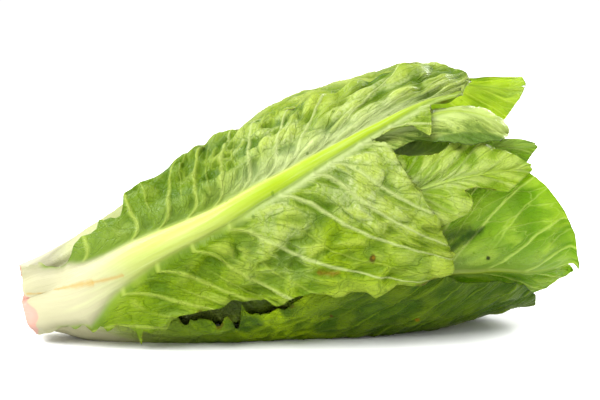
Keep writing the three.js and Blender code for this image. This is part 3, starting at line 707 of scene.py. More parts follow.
# %% Running a tree on a piece
def grown(piece, tree, sockets, values):
    """Runs a Geometry Nodes tree on a piece and keeps its result as a plain mesh."""
    modifier = piece.modifiers.new(tree.name, "NODES")
    modifier.node_group = tree
    for socket_name, value in values.items():
        modifier[sockets[socket_name]] = value
    piece.update_tag()
    evaluated = piece.evaluated_get(bpy.context.evaluated_depsgraph_get())
    mesh = bpy.data.meshes.new_from_object(evaluated)
    piece.modifiers.remove(modifier)
    rough = piece.data
    piece.data = mesh
    bpy.data.meshes.remove(rough)
    mesh.name = piece.name
    mesh.shade_smooth()
    return piece


print("inputs of the relief tree:", list(relief_sockets))

# %% [markdown]
# ## The finish of a leaf
#
# Romaine is a waxy green over pale flesh. The blade is cream where the head kept light off it, at
# the foot and close to the midrib, then yellow green, then green. Wax lies on it in patches, with a
# painted sheen on raised places; painted shade makes the hollows between the lumps deeper green, and
# painted highlights make the crests lighter. Veins stay pale. A finish could be painted on one flat
# texture, but that would blur up close, so it is a stack of coats, each with its share worked out
# from the notes that each point keeps: green, veins, blanching, midrib, then wear and painted shade.

# %% Leaf colours, as linear light
CREAM = (0.37, 0.355, 0.215, 1)
BLANCHED = (0.58, 0.60, 0.32, 1)
IVORY = (0.42, 0.46, 0.13, 1)
CUT_PINK = (0.48, 0.26, 0.20, 1)
BROWN = (0.075, 0.045, 0.0, 1)
RUST = (0.20, 0.12, 0.0, 1)
GROOVE = (0.37, 0.25, 0.07, 1)
# painted shadow: the deep green that a folded margin casts on the leaf beneath it
PAINTED_FOLD_SHADOW = (0.03, 0.09, 0.0, 1)
# painted shade: near black where a gap or a hole between leaves lies in shade
PAINTED_GAP_SHADE = (0.008, 0.02, 0.0, 1)
LIT = (0.95, 1.0, 0.03, 1)  # the tint of light that comes through a leaf
# wax, and a painted sheen where it lies on raised places and on the upper side of a leaf
WAX_AND_SHEEN = (0.51, 0.59, 0.26, 1)
RIB_YELLOW = (0.36, 0.425, 0.08, 1)
RIB_LIME = (0.27, 0.38, 0.008, 1)
RIB_SHADE = (0.20, 0.33, 0.002, 1)
print("the midrib goes from", CREAM[:3], "to", RIB_LIME[:3])


# %% What a point of a leaf knows
class Surface:
    """The notes of a leaf's points, and the patterns that several layers share."""

    def __init__(self, r, ribbed):
        self.marks = vein_marks(r)
        self.a, self.y, self.to_margin = r.parts("leaf_map")
        self.beyond, self.inward, self.rib = r.parts("flesh_map")
        self.cut_reach, self.lump = r.parts("form_map")[:2]
        self.flat = r.join(self.a, self.y, r.times(self.inward, 40.0))
        self.mottle = r.noise(self.flat, 0.05, 3.0, 0.6)
        self.crinkle = r.noise(self.flat, 0.55, 3.0, 0.65)
        from_fine = r.cells(self.marks["panel"], 3.6).outputs["Distance"]
        self.fine = r.times(r.fade(from_fine, 0.0, 0.12, 1.0, 0.0), self.marks["on_blade"])
        patchy = r.times(r.noise(self.flat, 0.06), 40.0)
        off_rib = r.times(r.maths("MAXIMUM", self.beyond, 0.0), 0.9)
        self.age = r.plus(self.a, patchy, off_rib)
        fibres = r.join(r.times(self.a, 0.02), r.times(self.y, 0.9), self.inward)
        self.grain = r.noise(fibres, 1.0, 4.0, 0.6)
        self.on_rib = r.fade(self.beyond, -1.6, 1.2, ribbed, 0.0)


print("a surface knows its marks, its place, and four shared patterns")


# %% Green and wax
def wax_and_sheen_share(r, s, bloom):
    """Wax in patches, with a painted sheen most on raised places and least far down the low side. By the
    margin it has rubbed off.
    """
    patch = r.fade(r.noise(r.join(s.y, s.a, 7.0), 0.035, 2.0), 0.30, 0.52)
    raised = r.times(r.fade(s.marks["bulge"], -0.35, 0.45, 0.25, 1.0),
                     r.fade(s.crinkle, 0.36, 0.56, 0.35, 1.0))
    reach = r.times(r.fade(s.a, 75.0, 120.0), bloom, r.fade(s.to_margin, 1.0, 12.0, 0.35, 1.0),
                    r.fade(s.y, -42.0, -24.0, 0.25, 1.0))
    return r.times(patch, raised, reach)


def green_coats(r, s, deep, light, far, core, bloom):
    """Mottled and waxed, with painted shade in the hollows and painted highlights on the crests."""
    bulge = s.marks["bulge"]
    painted_hollow_shade = r.times(r.fade(s.lump, -0.75, 0.0, 1.0, 0.0), r.fade(s.y, -5.0, 15.0, 0.7, 0.95))
    # painted shade over the far half of a leaf that lies away from the light
    far_painted_shade = [(r.fade(s.a, 95.0, 135.0), far)] if far else []
    return far_painted_shade + [
        (r.fade(s.mottle, 0.42, 0.7, 0.0, 0.6), deep),
        (r.fade(s.mottle, 0.3, 0.48, 0.45, 0.0), light),
        # painted shade, deeper away from the margin
        (r.fade(s.to_margin, 6.0, 24.0, 0.0, core), deep),
        (wax_and_sheen_share(r, s, bloom), WAX_AND_SHEEN),
        # painted highlights on lump, pucker and pillow crests, painted shade in the hollows
        (r.fade(s.lump, 0.15, 0.8, 0.0, 0.45), light),
        (r.fade(bulge, -0.7, -0.05, 0.6, 0.0), deep),
        (painted_hollow_shade, deep),
        (r.fade(bulge, 0.1, 0.8, 0.0, 0.55), light),
        (r.fade(s.marks["pillow"], 0.2, 1.0, 0.0, 0.3), light)]


print("coats of green and wax ready")


# %% Veins, blanching and midrib
def vein_coats(r, s, deep, vein, bloom, veined):
    """Side veins and forks are pale. The net is a dark groove on a waxy leaf, and pale on others."""
    net_ink = r.fade(s.mottle, 0.35, 0.6, 0.05, 0.4)
    old_green = r.times(r.fade(s.a, 70.0, 115.0, 1.0, 0.0), r.fade(s.y, -10.0, 5.0, 0.35, 0.65))
    vein_wax = r.fade(s.a, 85.0, 115.0, 0.0, 0.8 * veined * bloom)
    return [
        (r.times(s.fine, 0.14), deep),
        (r.times(s.marks["net"], net_ink), deep if bloom > 0.3 else vein),
        (old_green, deep),
        (r.times(s.marks["branch"], 0.4), vein),
        (r.times(s.marks["side"], veined), vein),
        (r.times(s.marks["side"], vein_wax), WAX_AND_SHEEN)]


def pale_coats(r, s, pale_reach, blanch, ribbed):
    """Pale towards the foot, and pale along both flanks of the midrib, with a painted sheen widening the
    upper one.
    """
    flank_reach = r.fade(r.fade(s.y, -2.0, 2.0), 0.0, 1.0, 4.0, 17.0)
    pale_flank_and_sheen = r.fade(r.maths("DIVIDE", s.beyond, flank_reach), 0.0, 1.0, 0.8 * ribbed, 0.0)
    pale_flank_and_sheen = r.times(pale_flank_and_sheen, r.fade(s.a, 80.0, 125.0, 0.1, 1.0), r.fade(s.a, 150.0, 200.0, 1.0, 0.3))
    return [
        (r.fade(s.age, pale_reach + 10, pale_reach * 1.6 + 60, blanch, 0.0), IVORY),
        (r.fade(s.age, pale_reach * 0.5 + 18, pale_reach * 1.1 + 30, 1.0, 0.0), BLANCHED),
        (pale_flank_and_sheen, WAX_AND_SHEEN)]


def rib_coats(r, s):
    """The midrib goes from cream through yellow to lime, with painted shade along its low side."""
    along_rib = r.plus(s.a, r.times(r.noise(s.flat, 0.03), 25.0))
    rib_half = r.minus(r.maths("ABSOLUTE", s.y), s.beyond)
    across_rib = r.maths("DIVIDE", s.y, r.maths("MAXIMUM", rib_half, 0.3))
    lime = r.coated(RIB_LIME, [(r.fade(across_rib, -1.0, -0.4, 0.9, 0.0), RIB_SHADE),
                               (r.fade(across_rib, -0.1, 0.8), RIB_YELLOW)])
    rib_colour = r.coated(CREAM, [(r.fade(along_rib, 36.0, 78.0), RIB_YELLOW),
                                  (r.fade(along_rib, 80.0, 125.0), lime),
                                  (r.fade(s.grain, 0.45, 0.75, 0.0, 0.3), WAX_AND_SHEEN)])
    foot = r.times(r.fade(s.a, 12.0, 26.0, 0.9, 0.0), r.fade(s.to_margin, 0.5, 3.0))
    foot = r.maths("MAXIMUM", foot, r.fade(s.a, 8.0, 12.0, 0.9, 0.0))
    return [(s.on_rib, rib_colour), (foot, CREAM)]


print("coats for veins, blanching and midrib ready")

# %% [markdown]
# A head that has been cut, handled and kept shows it: a scratch down the petiole, a rust spot, a
# tear, brown dry edges and a dried pink cut. Spots and scratches are given by their place on the
# flat leaf, so they stay where they are when a leaf bends. Shade is painted the same way: bands and
# dots of deep green or near black where a fold or a gap between leaves lies in shade.


# %% Spots, scratches and dry edges
def spot_coat(r, s, spot_a, spot_y, size, ink):
    """A small round blemish, or a dot of painted shade, at a place on the flat leaf, its size in mm."""
    off_a = r.minus(s.a, spot_a)
    off_y = r.minus(s.y, spot_y)
    off = r.maths("SQRT", r.plus(r.times(off_a, off_a), r.times(off_y, off_y)))
    off = r.plus(off, r.times(r.noise(s.flat, 0.6), size * 0.8))
    return r.fade(off, size * 0.9, size * 1.5, 0.9, 0.0), ink


def streak_coat(r, s, a0, y0, a1, y1, width, ink):
    """A scratch, or a band of painted shade, from one place on the flat leaf to another, its width in mm.
    """
    length = math.hypot(a1 - a0, y1 - y0)
    on_a, on_y = (a1 - a0) / length, (y1 - y0) / length
    off_a = r.minus(s.a, a0)
    off_y = r.minus(s.y, y0)
    onward = r.plus(r.times(off_a, on_a), r.times(off_y, on_y))
    aside = r.minus(r.times(off_y, on_a), r.times(off_a, on_y))
    past_end = r.minus(r.maths("ABSOLUTE", r.minus(onward, length / 2)), length / 2)
    off = r.plus(r.maths("ABSOLUTE", aside), r.maths("MAXIMUM", past_end, 0.0),
                 r.times(r.noise(s.flat, 0.4, 2.0), width * 1.6))
    return r.fade(off, width * 0.7, width * 2.4, 0.75, 0.0), ink


def wear_and_shade_coats(r, s, deep, shaded, spots, streaks):
    """Painted shade, dry edges, flecks, scratches, spots and bands of painted shade, and the dried pink of
    the cut.
    """
    painted_shade = [(r.fade(s.y, shaded[1], shaded[0], 0.85, 0.0), deep)] if shaded else []
    dry = r.times(r.fade(s.to_margin, 0.2, 1.6, 1.0, 0.0), r.fade(r.noise(s.flat, 0.11), 0.56, 0.68),
                  r.fade(s.a, 1.0, 8.0, 0.0, 0.75))
    fleck = r.cells(s.flat, 0.05, "F1").outputs["Distance"]
    fleck = r.times(r.fade(fleck, 0.02, 0.045, 0.5, 0.0), r.fade(s.a, 50.0, 80.0))
    past_cut = r.minus(r.plus(s.a, r.noise(s.flat, 0.5)), s.cut_reach)
    return [*painted_shade, (dry, BROWN), (fleck, deep),
            *(streak_coat(r, s, *streak) for streak in streaks),
            *(spot_coat(r, s, *spot) for spot in spots),
            (r.fade(past_cut, 0.0, 0.9, 1.0, 0.0), CUT_PINK)]


print("coats of wear ready")

# %% [markdown]
# The finest crinkles are too small for the mesh, so they are a bump in the shading only. The flesh
# is thin, and light from behind comes through it: a translucent shader is mixed with the plain
# one, less so on the thick midrib.


# %% Bump, and the whole finish
def bumped(r, s, pale_reach):
    ridges = r.plus(r.times(s.marks["side"], 0.3), r.times(s.marks["branch"], 0.25))
    ridges = r.minus(ridges, r.times(s.marks["net"], 0.3), r.times(s.fine, 0.18))
    crinkles = r.times(r.plus(s.crinkle, r.noise(s.flat, 0.2, 2.0)), s.marks["on_blade"], 0.8)
    ridges = r.plus(ridges, r.times(s.grain, r.times(s.on_rib, 0.4)), crinkles)
    ridges = r.times(ridges, r.fade(s.age, pale_reach * 0.5, pale_reach * 1.1 + 30, 0.3, 1.0))
    return r.add("ShaderNodeBump", {"Strength": 0.8, "Distance": 0.0012, "Height": ridges}).outputs[0]


def leaf_finish(name, blade, deep, light, vein, pale_reach, glow, glow_colour=LIT, blanch=0.8, bloom=0.4,
                far=None, gloss=0.24, shaded=None, veined=0.75, ribbed=1.0, core=0.0, spots=(), streaks=()):
    """One leaf material. pale_reach is how far from the butt the blade stays blanched, in mm.

    blanch is how strongly it does, bloom how much wax and painted sheen lies on it, far the colour of
    painted shade beyond half way, shaded the two y between which painted shade turns it deep green,
    veined and ribbed how clear its side veins and its midrib are, and core how much painted shade
    deepens the green away from the margin. Spots are (a, y, size, colour), and streaks are (a, y, a at
    the end, y at the end, width, colour); some of them are painted shade.
    """
    material, r = new_material(name)
    s = Surface(r, ribbed)
    colour = r.coated(blade, green_coats(r, s, deep, light, far, core, bloom)
                      + vein_coats(r, s, deep, vein, bloom, veined)
                      + pale_coats(r, s, pale_reach, blanch, ribbed) + rib_coats(r, s)
                      + wear_and_shade_coats(r, s, deep, shaded, spots, streaks))
    bump = bumped(r, s, pale_reach)
    sheen = r.fade(r.noise(s.flat, 0.12, 2.0), 0.3, 0.7, 0.28, 0.42)
    skin = r.add("ShaderNodeBsdfPrincipled", {"Base Color": colour, "Roughness": sheen,
                                              "Specular IOR Level": gloss, "Normal": bump})
    lit_through = r.tint(0.65, glow_colour, colour, "MULTIPLY")
    flesh = r.add("ShaderNodeBsdfTranslucent", {"Color": lit_through, "Normal": bump})
    thin = r.times(r.fade(s.rib, 0.0, 1.6, 1.0, 0.25), glow)
    mixed = r.add("ShaderNodeMixShader", {0: thin, 1: skin.outputs[0], 2: flesh.outputs[0]})
    r.add("ShaderNodeOutputMaterial", {"Surface": mixed.outputs[0]})
    return material


print("leaf finish ready")

# %% [markdown]
# ## The leaves, from the outermost in
#
# Leaves could be drawn one by one, but a table of a few sizes for the one rule is shorter, and easy
# to change. start and reach say where the midrib begins and ends along the axis, turn its angle
# round the head, shell how much of the head's radius the leaf keeps. up and down trace the two
# margins: (u, how far ahead of the midrib in mm, how many degrees off). keel and flare lift the
# midrib and the margins, in mm. wave, waves and lobes make the margins sway. pillow, pucker and
# ridge are heights of relief. Some leaves have one habit more: rests lies flat on the table, calm
# is how far up the steps of the pile are filled under a leaf, slant is how far aslant the knife
# went, and even quiets the lumps by the lower margin. The four outer leaves grow from the very
# butt, and their margins have the big nicks and tears that a handled head gets.

# %% A plan of leaves
LEAVES = []  # from the outermost in
COMMON = dict(teeth=1.0, wave=0.8, waves=3, lobes=0.06, pillow=0.3, pucker=0.5)


def plan(**sizes):
    """Adds one leaf to the plan. It has the common sizes, unless it gives its own."""
    leaf = {**COMMON, **sizes}
    LEAVES.append(leaf)
    print(leaf["name"], "from", leaf["start"], "to", leaf["reach"], "mm along the axis")


def fan(wide, ahead):
    """The plain outline of one side of a leaf that nothing has torn."""
    return [(0, 0, 30), (0.15, 0.2 * ahead, 0.62 * wide), (0.4, 0.7 * ahead, wide), (0.65, ahead, wide),
            (0.85, 0.8 * ahead, 0.68 * wide), (0.95, 0.4 * ahead, 0.36 * wide), (1, 0, 3)]

# %% [markdown]
# The front leaf lies over the whole near side, with its broad midrib outwards. Its side veins are
# the ones that everyone sees, so they are placed one by one: where each leaves the midrib, in mm
# from the butt, and how far forward it leans.

# %% The front leaf's veins
FRONT_VEINS = {
    "up": [(8, -0.4), (28, -0.4), (50, -0.3), (61.6, 0.1), (74, 0.03), (86, 0.03), (98, 0.05), (109, 0.2),
           (117, 0.5), (130, 1.3), (144, 2.9), (165, 3), (182, 3.1)],
    "down": [(4, 1.6), (22, 1.5), (40.6, 1.25), (57, 1), (72.3, 0.75), (89.3, 0.92), (113, 0.8),
             (128, 0.62), (135.5, 0.75), (150, 1), (165, 1.2), (180, 1.4)]}
print("veins placed by hand:", len(FRONT_VEINS["up"]) + len(FRONT_VEINS["down"]))

# %% The front leaf
plan(
    name="outer_leaf_front", finish="front", grid=(250, 168), seed=20, start=0, reach=200, rib=1,
    vein_gap=17, teeth=1.2, lumps=2.5, ruffle=1.3, waves=5, phase=1, lobes=0, pillow=1.2, pucker=1.7,
    calm=75, slant=2.4, even=0.6,
    turn=[(0, 4), (0.08, 5), (0.15, 11), (0.225, 16.5), (0.28, 19), (0.4, 23), (0.49, 27.6), (0.605, 33.7),
          (0.725, 40.5), (0.845, 47), (0.92, 51), (1, 57)], shell=1,
    up=[(0, 1, 62), (0.015, 1, 52.9), (0.022, 1, 55.9), (0.03, 1.8, 46.9), (0.037, 2, 51.9),
        (0.045, 3, 39.8), (0.055, 3.5, 36.7), (0.065, 4, 30.5), (0.085, 3.5, 30.7), (0.1, 3.5, 33.7),
        (0.11, 3.5, 38.8), (0.125, 4.5, 42.3), (0.145, 4.5, 36.4), (0.16, 4.5, 36.2), (0.168, 5, 42.6),
        (0.18, 4.5, 37.7), (0.205, 4, 32.8), (0.22, 3.5, 30.8), (0.233, 3, 37.1), (0.242, 3, 49.5),
        (0.265, 3, 48.6), (0.28, 2.5, 47), (0.31, 3.5, 48), (0.343, 3.5, 50), (0.365, 4, 51.3),
        (0.385, 4, 52.6), (0.41, 4, 54.6), (0.435, 4.5, 56.4), (0.455, 4.5, 58.3), (0.47, 5, 57.5),
        (0.49, 5.5, 54.4), (0.507, 6, 49.5), (0.537, 7, 46.9), (0.6, 10.5, 41.6), (0.665, 13, 36.9),
        (0.705, 14.5, 37.6), (0.75, 15.5, 37.1), (0.815, 16, 34.6), (0.845, 17.5, 32), (0.91, 18.5, 36.6),
        (0.94, 18.5, 31.6), (0.965, 16.5, 20.7), (0.98, 12.5, 12.5), (0.993, 5.5, 3.6), (1, 1, -2)],
    down=[(0, 0, 48), (0.028, 2.5, 36.1), (0.04, 3, 30.2), (0.05, 4.5, 24.2), (0.058, 5, 31.3),
          (0.072, 6.5, 24.7), (0.085, 7, 33.3), (0.098, 8.5, 25.1), (0.105, 9, 33.8), (0.12, 10.5, 29.2),
          (0.133, 12.5, 31.4), (0.14, 13, 35.1), (0.144, 13.2, 46.5), (0.152, 14, 37.2),
          (0.163, 14.5, 40.5), (0.172, 16, 37.8), (0.182, 17, 40.5), (0.195, 18, 34), (0.217, 21, 34.5),
          (0.237, 24.5, 35.8), (0.255, 27.5, 35.8), (0.265, 29.5, 34), (0.282, 31.5, 36),
          (0.31, 33.5, 38.2), (0.323, 34.5, 42), (0.34, 35, 40.6), (0.365, 35.5, 39.9), (0.41, 36, 42),
          (0.435, 36.5, 46.4), (0.46, 37, 47), (0.49, 38, 48.6), (0.507, 38, 53.5), (0.535, 38.5, 54),
          (0.552, 39, 52.9), (0.585, 39, 55.6), (0.61, 39.5, 58), (0.635, 40.5, 57.4), (0.655, 42.5, 58.5),
          (0.667, 41.5, 55.2), (0.677, 38.5, 50.8), (0.69, 34, 42.5), (0.715, 24.5, 29.7),
          (0.735, 17.4, 19.8), (0.75, 12, 12.5), (0.76, 6.4, 7), (0.77, 1.5, 4), (0.79, 4.2, 3.8),
          (0.815, 5, 4.4), (0.84, 5.5, 6.3), (0.87, 5, 14.5), (0.89, 5, 5.3), (0.91, 2.5, 1.4),
          (0.95, 6, 4.1), (1, 1, 3)], veins=FRONT_VEINS)

# %% [markdown]
# The top leaf hugs the head closely near its foot and stands off it towards the tip. The
# undermost leaf carries the weight, so it rests on the table and is pressed flat there. The one at
# the back is whole.

# %% The top leaf
plan(
    name="outer_leaf_top", finish="outer", grid=(200, 104), seed=10, start=0, reach=200, rib=0.6,
    vein_gap=17, teeth=1.4, lumps=1.2, ruffle=1.2, wave=1.2, waves=4, phase=0, pillow=0.8, pucker=1.2,
    turn=[(0, 112), (0.2, 116), (0.5, 126), (1, 138)],
    shell=[(0, 0.94), (0.12, 0.82), (0.3, 0.78), (0.38, 0.82), (0.44, 0.88), (0.5, 0.94), (0.58, 1.04),
           (0.8, 1.05), (0.89, 1.12), (0.95, 1.1), (1, 1.03)],
    flare=[(0, 0), (0.05, -2), (0.15, -2), (0.3, 0), (0.45, -4), (0.58, -8), (0.86, -8), (0.94, 0),
           (1, 0)],
    up=[(0, 0, 38), (0.1, 2, 36.2), (0.25, 8, 42.5), (0.4, 10, 59.2), (0.5, 10, 64), (0.65, 10, 64.1),
        (0.75, 10, 57.8), (0.85, 8, 43.5), (0.92, 5, 26.9), (0.97, 2, 11.7), (1, 0, 3)],
    down=[(0, 0, 28), (0.02, 0.5, 50.4), (0.04, 0.5, 74), (0.065, 1, 84), (0.09, 1, 84), (0.12, 1, 76),
          (0.17, 3, 70), (0.25, 6, 62), (0.32, 7, 52), (0.4, 8, 47), (0.52, 8, 50.5), (0.7, 17, 56.1),
          (0.79, 20, 57.1), (0.83, 20, 56.1), (0.86, 18, 51.7), (0.9, 12, 37.7), (0.95, 6, 18.8),
          (1, 0, 2)])

# %% The undermost leaf
plan(
    name="outer_leaf_under", finish="under", grid=(200, 104), seed=30, start=0, reach=216, rib=0.9,
    vein_gap=17, teeth=1.6, lumps=0.8, ruffle=0.8, wave=0.4, waves=4, phase=2, lobes=0.03, pillow=0.7,
    pucker=1.2, rests=True,
    turn=[(0, -72), (0.06, -62), (0.2, -64), (0.4, -76), (0.6, -80), (1, -78)],
    shell=[(0, 0.96), (0.2, 1), (1, 1)], keel=[(0, 1), (0.06, 4), (0.15, 5), (0.25, 3), (0.38, 0)],
    up=[(0, 0, 32), (0.037, 1, 42.7), (0.069, 3, 45.7), (0.139, 4, 47.8), (0.194, 5, 46.8),
        (0.213, 6, 42.6), (0.231, 7, 42.6), (0.241, 7.5, 43.1), (0.245, 7.8, 37.4), (0.253, 7.9, 35.8),
        (0.258, 7.9, 40.2), (0.266, 8.5, 41.7), (0.275, 8.5, 44.3), (0.294, 9, 44.6), (0.3, 9.2, 40.5),
        (0.306, 9.5, 40.5), (0.315, 9.7, 45.1), (0.32, 10.1, 46.4), (0.325, 10.2, 43.8),
        (0.331, 10.3, 34.6), (0.335, 10.3, 34.4), (0.341, 10.4, 40.8), (0.347, 10.5, 47.2),
        (0.351, 10.5, 52.5), (0.355, 10.4, 47.7), (0.363, 10.5, 45.2), (0.373, 10.5, 46.7),
        (0.38, 10.5, 45.1), (0.391, 10.5, 47.1), (0.405, 10.5, 49.2), (0.421, 11, 50.8), (0.435, 11, 53.3),
        (0.458, 12, 58), (0.546, 14, 60.6), (0.648, 18.5, 60.1), (0.694, 18, 57), (0.755, 17, 49.7),
        (0.889, 16, 34.7), (0.944, 10.5, 21.3), (1, 1, 3)],
    down=[(0, 0, 38), (0.093, 4, 50.7), (0.231, 10, 62.4), (0.37, 10, 65.4), (0.509, 10, 63.9),
          (0.694, 10, 58), (0.833, 7, 42.8), (0.926, 4, 21.5), (1, 1, 4)])

# %% The back leaf
plan(
    name="outer_leaf_back", finish="outer", grid=(160, 88), seed=40, start=0, reach=202, rib=0.8,
    vein_gap=17, teeth=1.4, lumps=1.2, ruffle=1.2, wave=1.2, waves=4, phase=3, pillow=0.8, pucker=1.2,
    turn=[(0, 195), (1, 208)], shell=[(0, 0.93), (0.3, 0.86), (0.6, 0.93), (1, 0.96)],
    up=[(0, 0, 37), (0.099, 4, 39.7), (0.248, 10, 43.8), (0.396, 12, 49.9), (0.545, 12, 49.9),
        (0.718, 10, 43.7), (0.842, 8, 32.1), (0.921, 5, 19), (0.97, 3, 8.4), (1, 0, 2)],
    down=[(0, 0, 38), (0.099, 4, 38.3), (0.248, 8, 44.2), (0.396, 10, 52.1), (0.545, 10, 58.1),
          (0.718, 10, 56.3), (0.842, 7, 43.9), (0.921, 4, 25), (0.97, 2, 11.6), (1, 0, 3)])

# %% [markdown]
# The second layer shows past the torn tips of the first: a tip that has rolled in on itself, a
# crinkled lobe, a broad low leaf that the light comes through, and one leaf seen from inside.

# %% The rolled leaf
plan(
    name="second_leaf_rolled", finish="waxy", grid=(170, 64), seed=50, start=44, reach=214, rib=0.5,
    vein_gap=15, lumps=0.6, ruffle=0.5, wave=0.4, phase=0, lobes=0, pucker=0.6,
    turn=[(0, 30), (0.5, 41), (0.83, 45), (0.9, 43.5), (0.96, 39), (1, 35.5)],
    shell=[(0, 0.86), (0.6, 0.88), (1, 0.9)], keel=[(0.6, 0), (0.85, 7), (0.95, 7), (1, 4)],
    up=[(0, 0, 20), (0.271, 8, 25.8), (0.624, 8, 13), (0.771, 11, 7.4), (0.829, 9, 6.5),
        (0.888, 10.8, 5.5), (0.953, 5, 4.4), (1, 0.5, 2.5)],
    down=[(0, 0, 22), (0.271, 8, 18.2), (0.624, 8, 12), (0.718, 8, 7.1), (0.759, 8, 11.5),
          (0.859, 5, 16.8), (0.935, 5, 13.1), (0.982, 2, 6.1), (1, 0.5, 1.5)])

# %% The leaf with a crinkled lobe
plan(
    name="second_leaf_front", finish="lobe", grid=(210, 108), seed=60, start=28, reach=218, rib=0.3,
    vein_gap=15, teeth=1.2, lumps=2.3, ruffle=1.0, phase=0, lobes=0, pucker=0.7, ridge=0.15,
    turn=[(0, -10), (0.5, 8), (0.8, 15), (1, 15)], shell=[(0, 0.84), (0.6, 0.87), (1, 0.9)],
    flare=[(0.5, 0), (0.75, 3), (1, 2)],
    up=[(0, 0, 24), (0.168, 6, 37.8), (0.379, 18, 46), (0.537, 20, 28.9), (0.616, 18, 21.3),
        (0.695, 18, 14.4), (0.737, 16, 14.8), (0.774, 14.6, 19.6), (0.837, 13.5, 14.1), (0.895, 11.6, 8.7),
        (0.953, 7, 2.9), (1, 0.5, 1)],
    down=[(0, 0, 24), (0.168, 10, 30.2), (0.432, 25, 29.8), (0.537, 25, 23.1), (0.616, 25.6, 16.6),
          (0.668, 25, 14.3), (0.711, 23.5, 13.8), (0.742, 20.7, 10.2), (0.758, 15.1, 4.3),
          (0.789, 15.2, 4.8), (0.842, 16.8, 9.7), (0.884, 15.1, 6), (0.942, 10.8, 2.2), (1, 0.5, 1)])

# %% The low leaf
plan(
    name="second_leaf_low", finish="low", grid=(240, 120), seed=70, start=18, reach=233, rib=0.65,
    vein_gap=19, lumps=1.0, ruffle=0.8, phase=0.5, lobes=0, pillow=0.6, pucker=0.8,
    turn=[(0, -46), (0.35, -38), (0.6, -31), (0.73, -31.7), (0.78, -35), (0.835, -38.5), (0.9, -46),
          (1, -56)], shell=[(0, 0.86), (0.6, 0.87), (0.8, 0.86), (1, 0.88)],
    flare=[(0.7, 0), (0.84, 5), (1, 4)],
    up=[(0, 0, 20), (0.195, 20, 49.6), (0.381, 28, 55.2), (0.567, 32, 55.6), (0.684, 35, 52.9),
        (0.753, 34, 51), (0.823, 28, 42.6), (0.87, 24, 33.4), (0.916, 18, 23.7), (0.958, 10, 13.9),
        (0.986, 6, 5.6), (1, 4, 0)],
    down=[(0, 0, 20), (0.195, 16, 20.4), (0.381, 18, 24.8), (0.614, 20, 29.2), (0.8, 14, 26.8),
          (0.865, 13, 31.2), (0.902, 11, 26.8), (0.935, 9, 22.4), (0.967, 6, 18.2), (0.986, 4.5, 12.4),
          (1, 3, 5)])

# %% The second leaves at the top and the back
plan(
    name="second_leaf_top", finish="lit", grid=(190, 92), seed=80, start=6, reach=246, rib=0.5,
    vein_gap=17, lumps=0.8, ruffle=0.8, phase=1.4, pillow=0.5, pucker=0.8,
    turn=[(0, 75), (0.5, 106), (0.85, 122), (1, 128)],
    shell=[(0, 0.62), (0.15, 0.66), (0.3, 0.7), (0.5, 0.8), (0.7, 0.93), (1, 1)],
    up=[(0, 0, 23), (0.1, 4, 28.7), (0.225, 12, 36.7), (0.392, 18, 46.3), (0.6, 20, 46.9),
        (0.767, 18, 43.6), (0.833, 20, 38.7), (0.883, 19.5, 29.6), (0.925, 15, 21.9), (0.958, 11, 14.6),
        (0.983, 7, 7.7), (1, 3.3, 3)],
    down=[(0, 0, 19), (0.1, 4, 23.3), (0.225, 12, 27.3), (0.392, 18, 29.7), (0.6, 20, 31.1),
          (0.767, 16, 24.4), (0.808, 14, 10.2), (0.833, 15.5, 5.3), (0.858, 15, 10.4), (0.892, 14.5, 15.8),
          (0.933, 11, 15.4), (0.967, 8, 9.7), (0.988, 6, 1.5), (1, 3.3, -2)])
plan(
    name="second_leaf_back", finish="second", grid=(130, 76), seed=90, start=24, reach=216, rib=0.65,
    vein_gap=16, teeth=1.4, lumps=1.3, ruffle=1.4, wave=1, phase=2.4, turn=[(0, 158), (1, 180)],
    shell=[(0, 0.6), (0.35, 0.66), (0.65, 0.82), (1, 0.85)], up=fan(52, 14), down=fan(46, 14))

# %% [markdown]
# Deeper in, the leaves are paler, shorter and plainer. They start higher up the stem, and seldom
# show, except from the tips, where the head stands open.

# %% The third leaves
plan(
    name="third_leaf_front", finish="second", grid=(150, 80), seed=100, start=34, reach=226, rib=0.5,
    vein_gap=15, teeth=1.2, lumps=1.0, ruffle=1.0, phase=2, lobes=0.03, turn=[(0, 50), (0.5, 36), (1, 29)],
    shell=[(0, 0.6), (0.25, 0.7), (0.8, 0.77), (1, 0.8)],
    up=[(0, 0, 26), (0.188, 10, 33.6), (0.396, 14, 37.5), (0.604, 14, 33.9), (0.786, 11, 18.4),
        (0.891, 7, 5.6), (0.958, 4, 2.4), (1, 1, 1)],
    down=[(0, 0, 28), (0.188, 10, 42.4), (0.396, 14, 44.5), (0.604, 16, 34.1), (0.812, 12, 17.3),
          (0.917, 9, 12.1), (0.969, 4, 5.4), (1, 1, 2)])
plan(
    name="third_leaf_under", finish="second", grid=(110, 66), seed=110, start=40, reach=218, rib=0.5,
    vein_gap=15, teeth=1.4, lumps=1.3, ruffle=1.4, wave=1, phase=1, turn=[(0, -120), (1, -100)],
    shell=[(0, 0.6), (0.4, 0.68), (0.8, 0.78), (1, 0.78)], up=fan(56, 12), down=fan(56, 12))

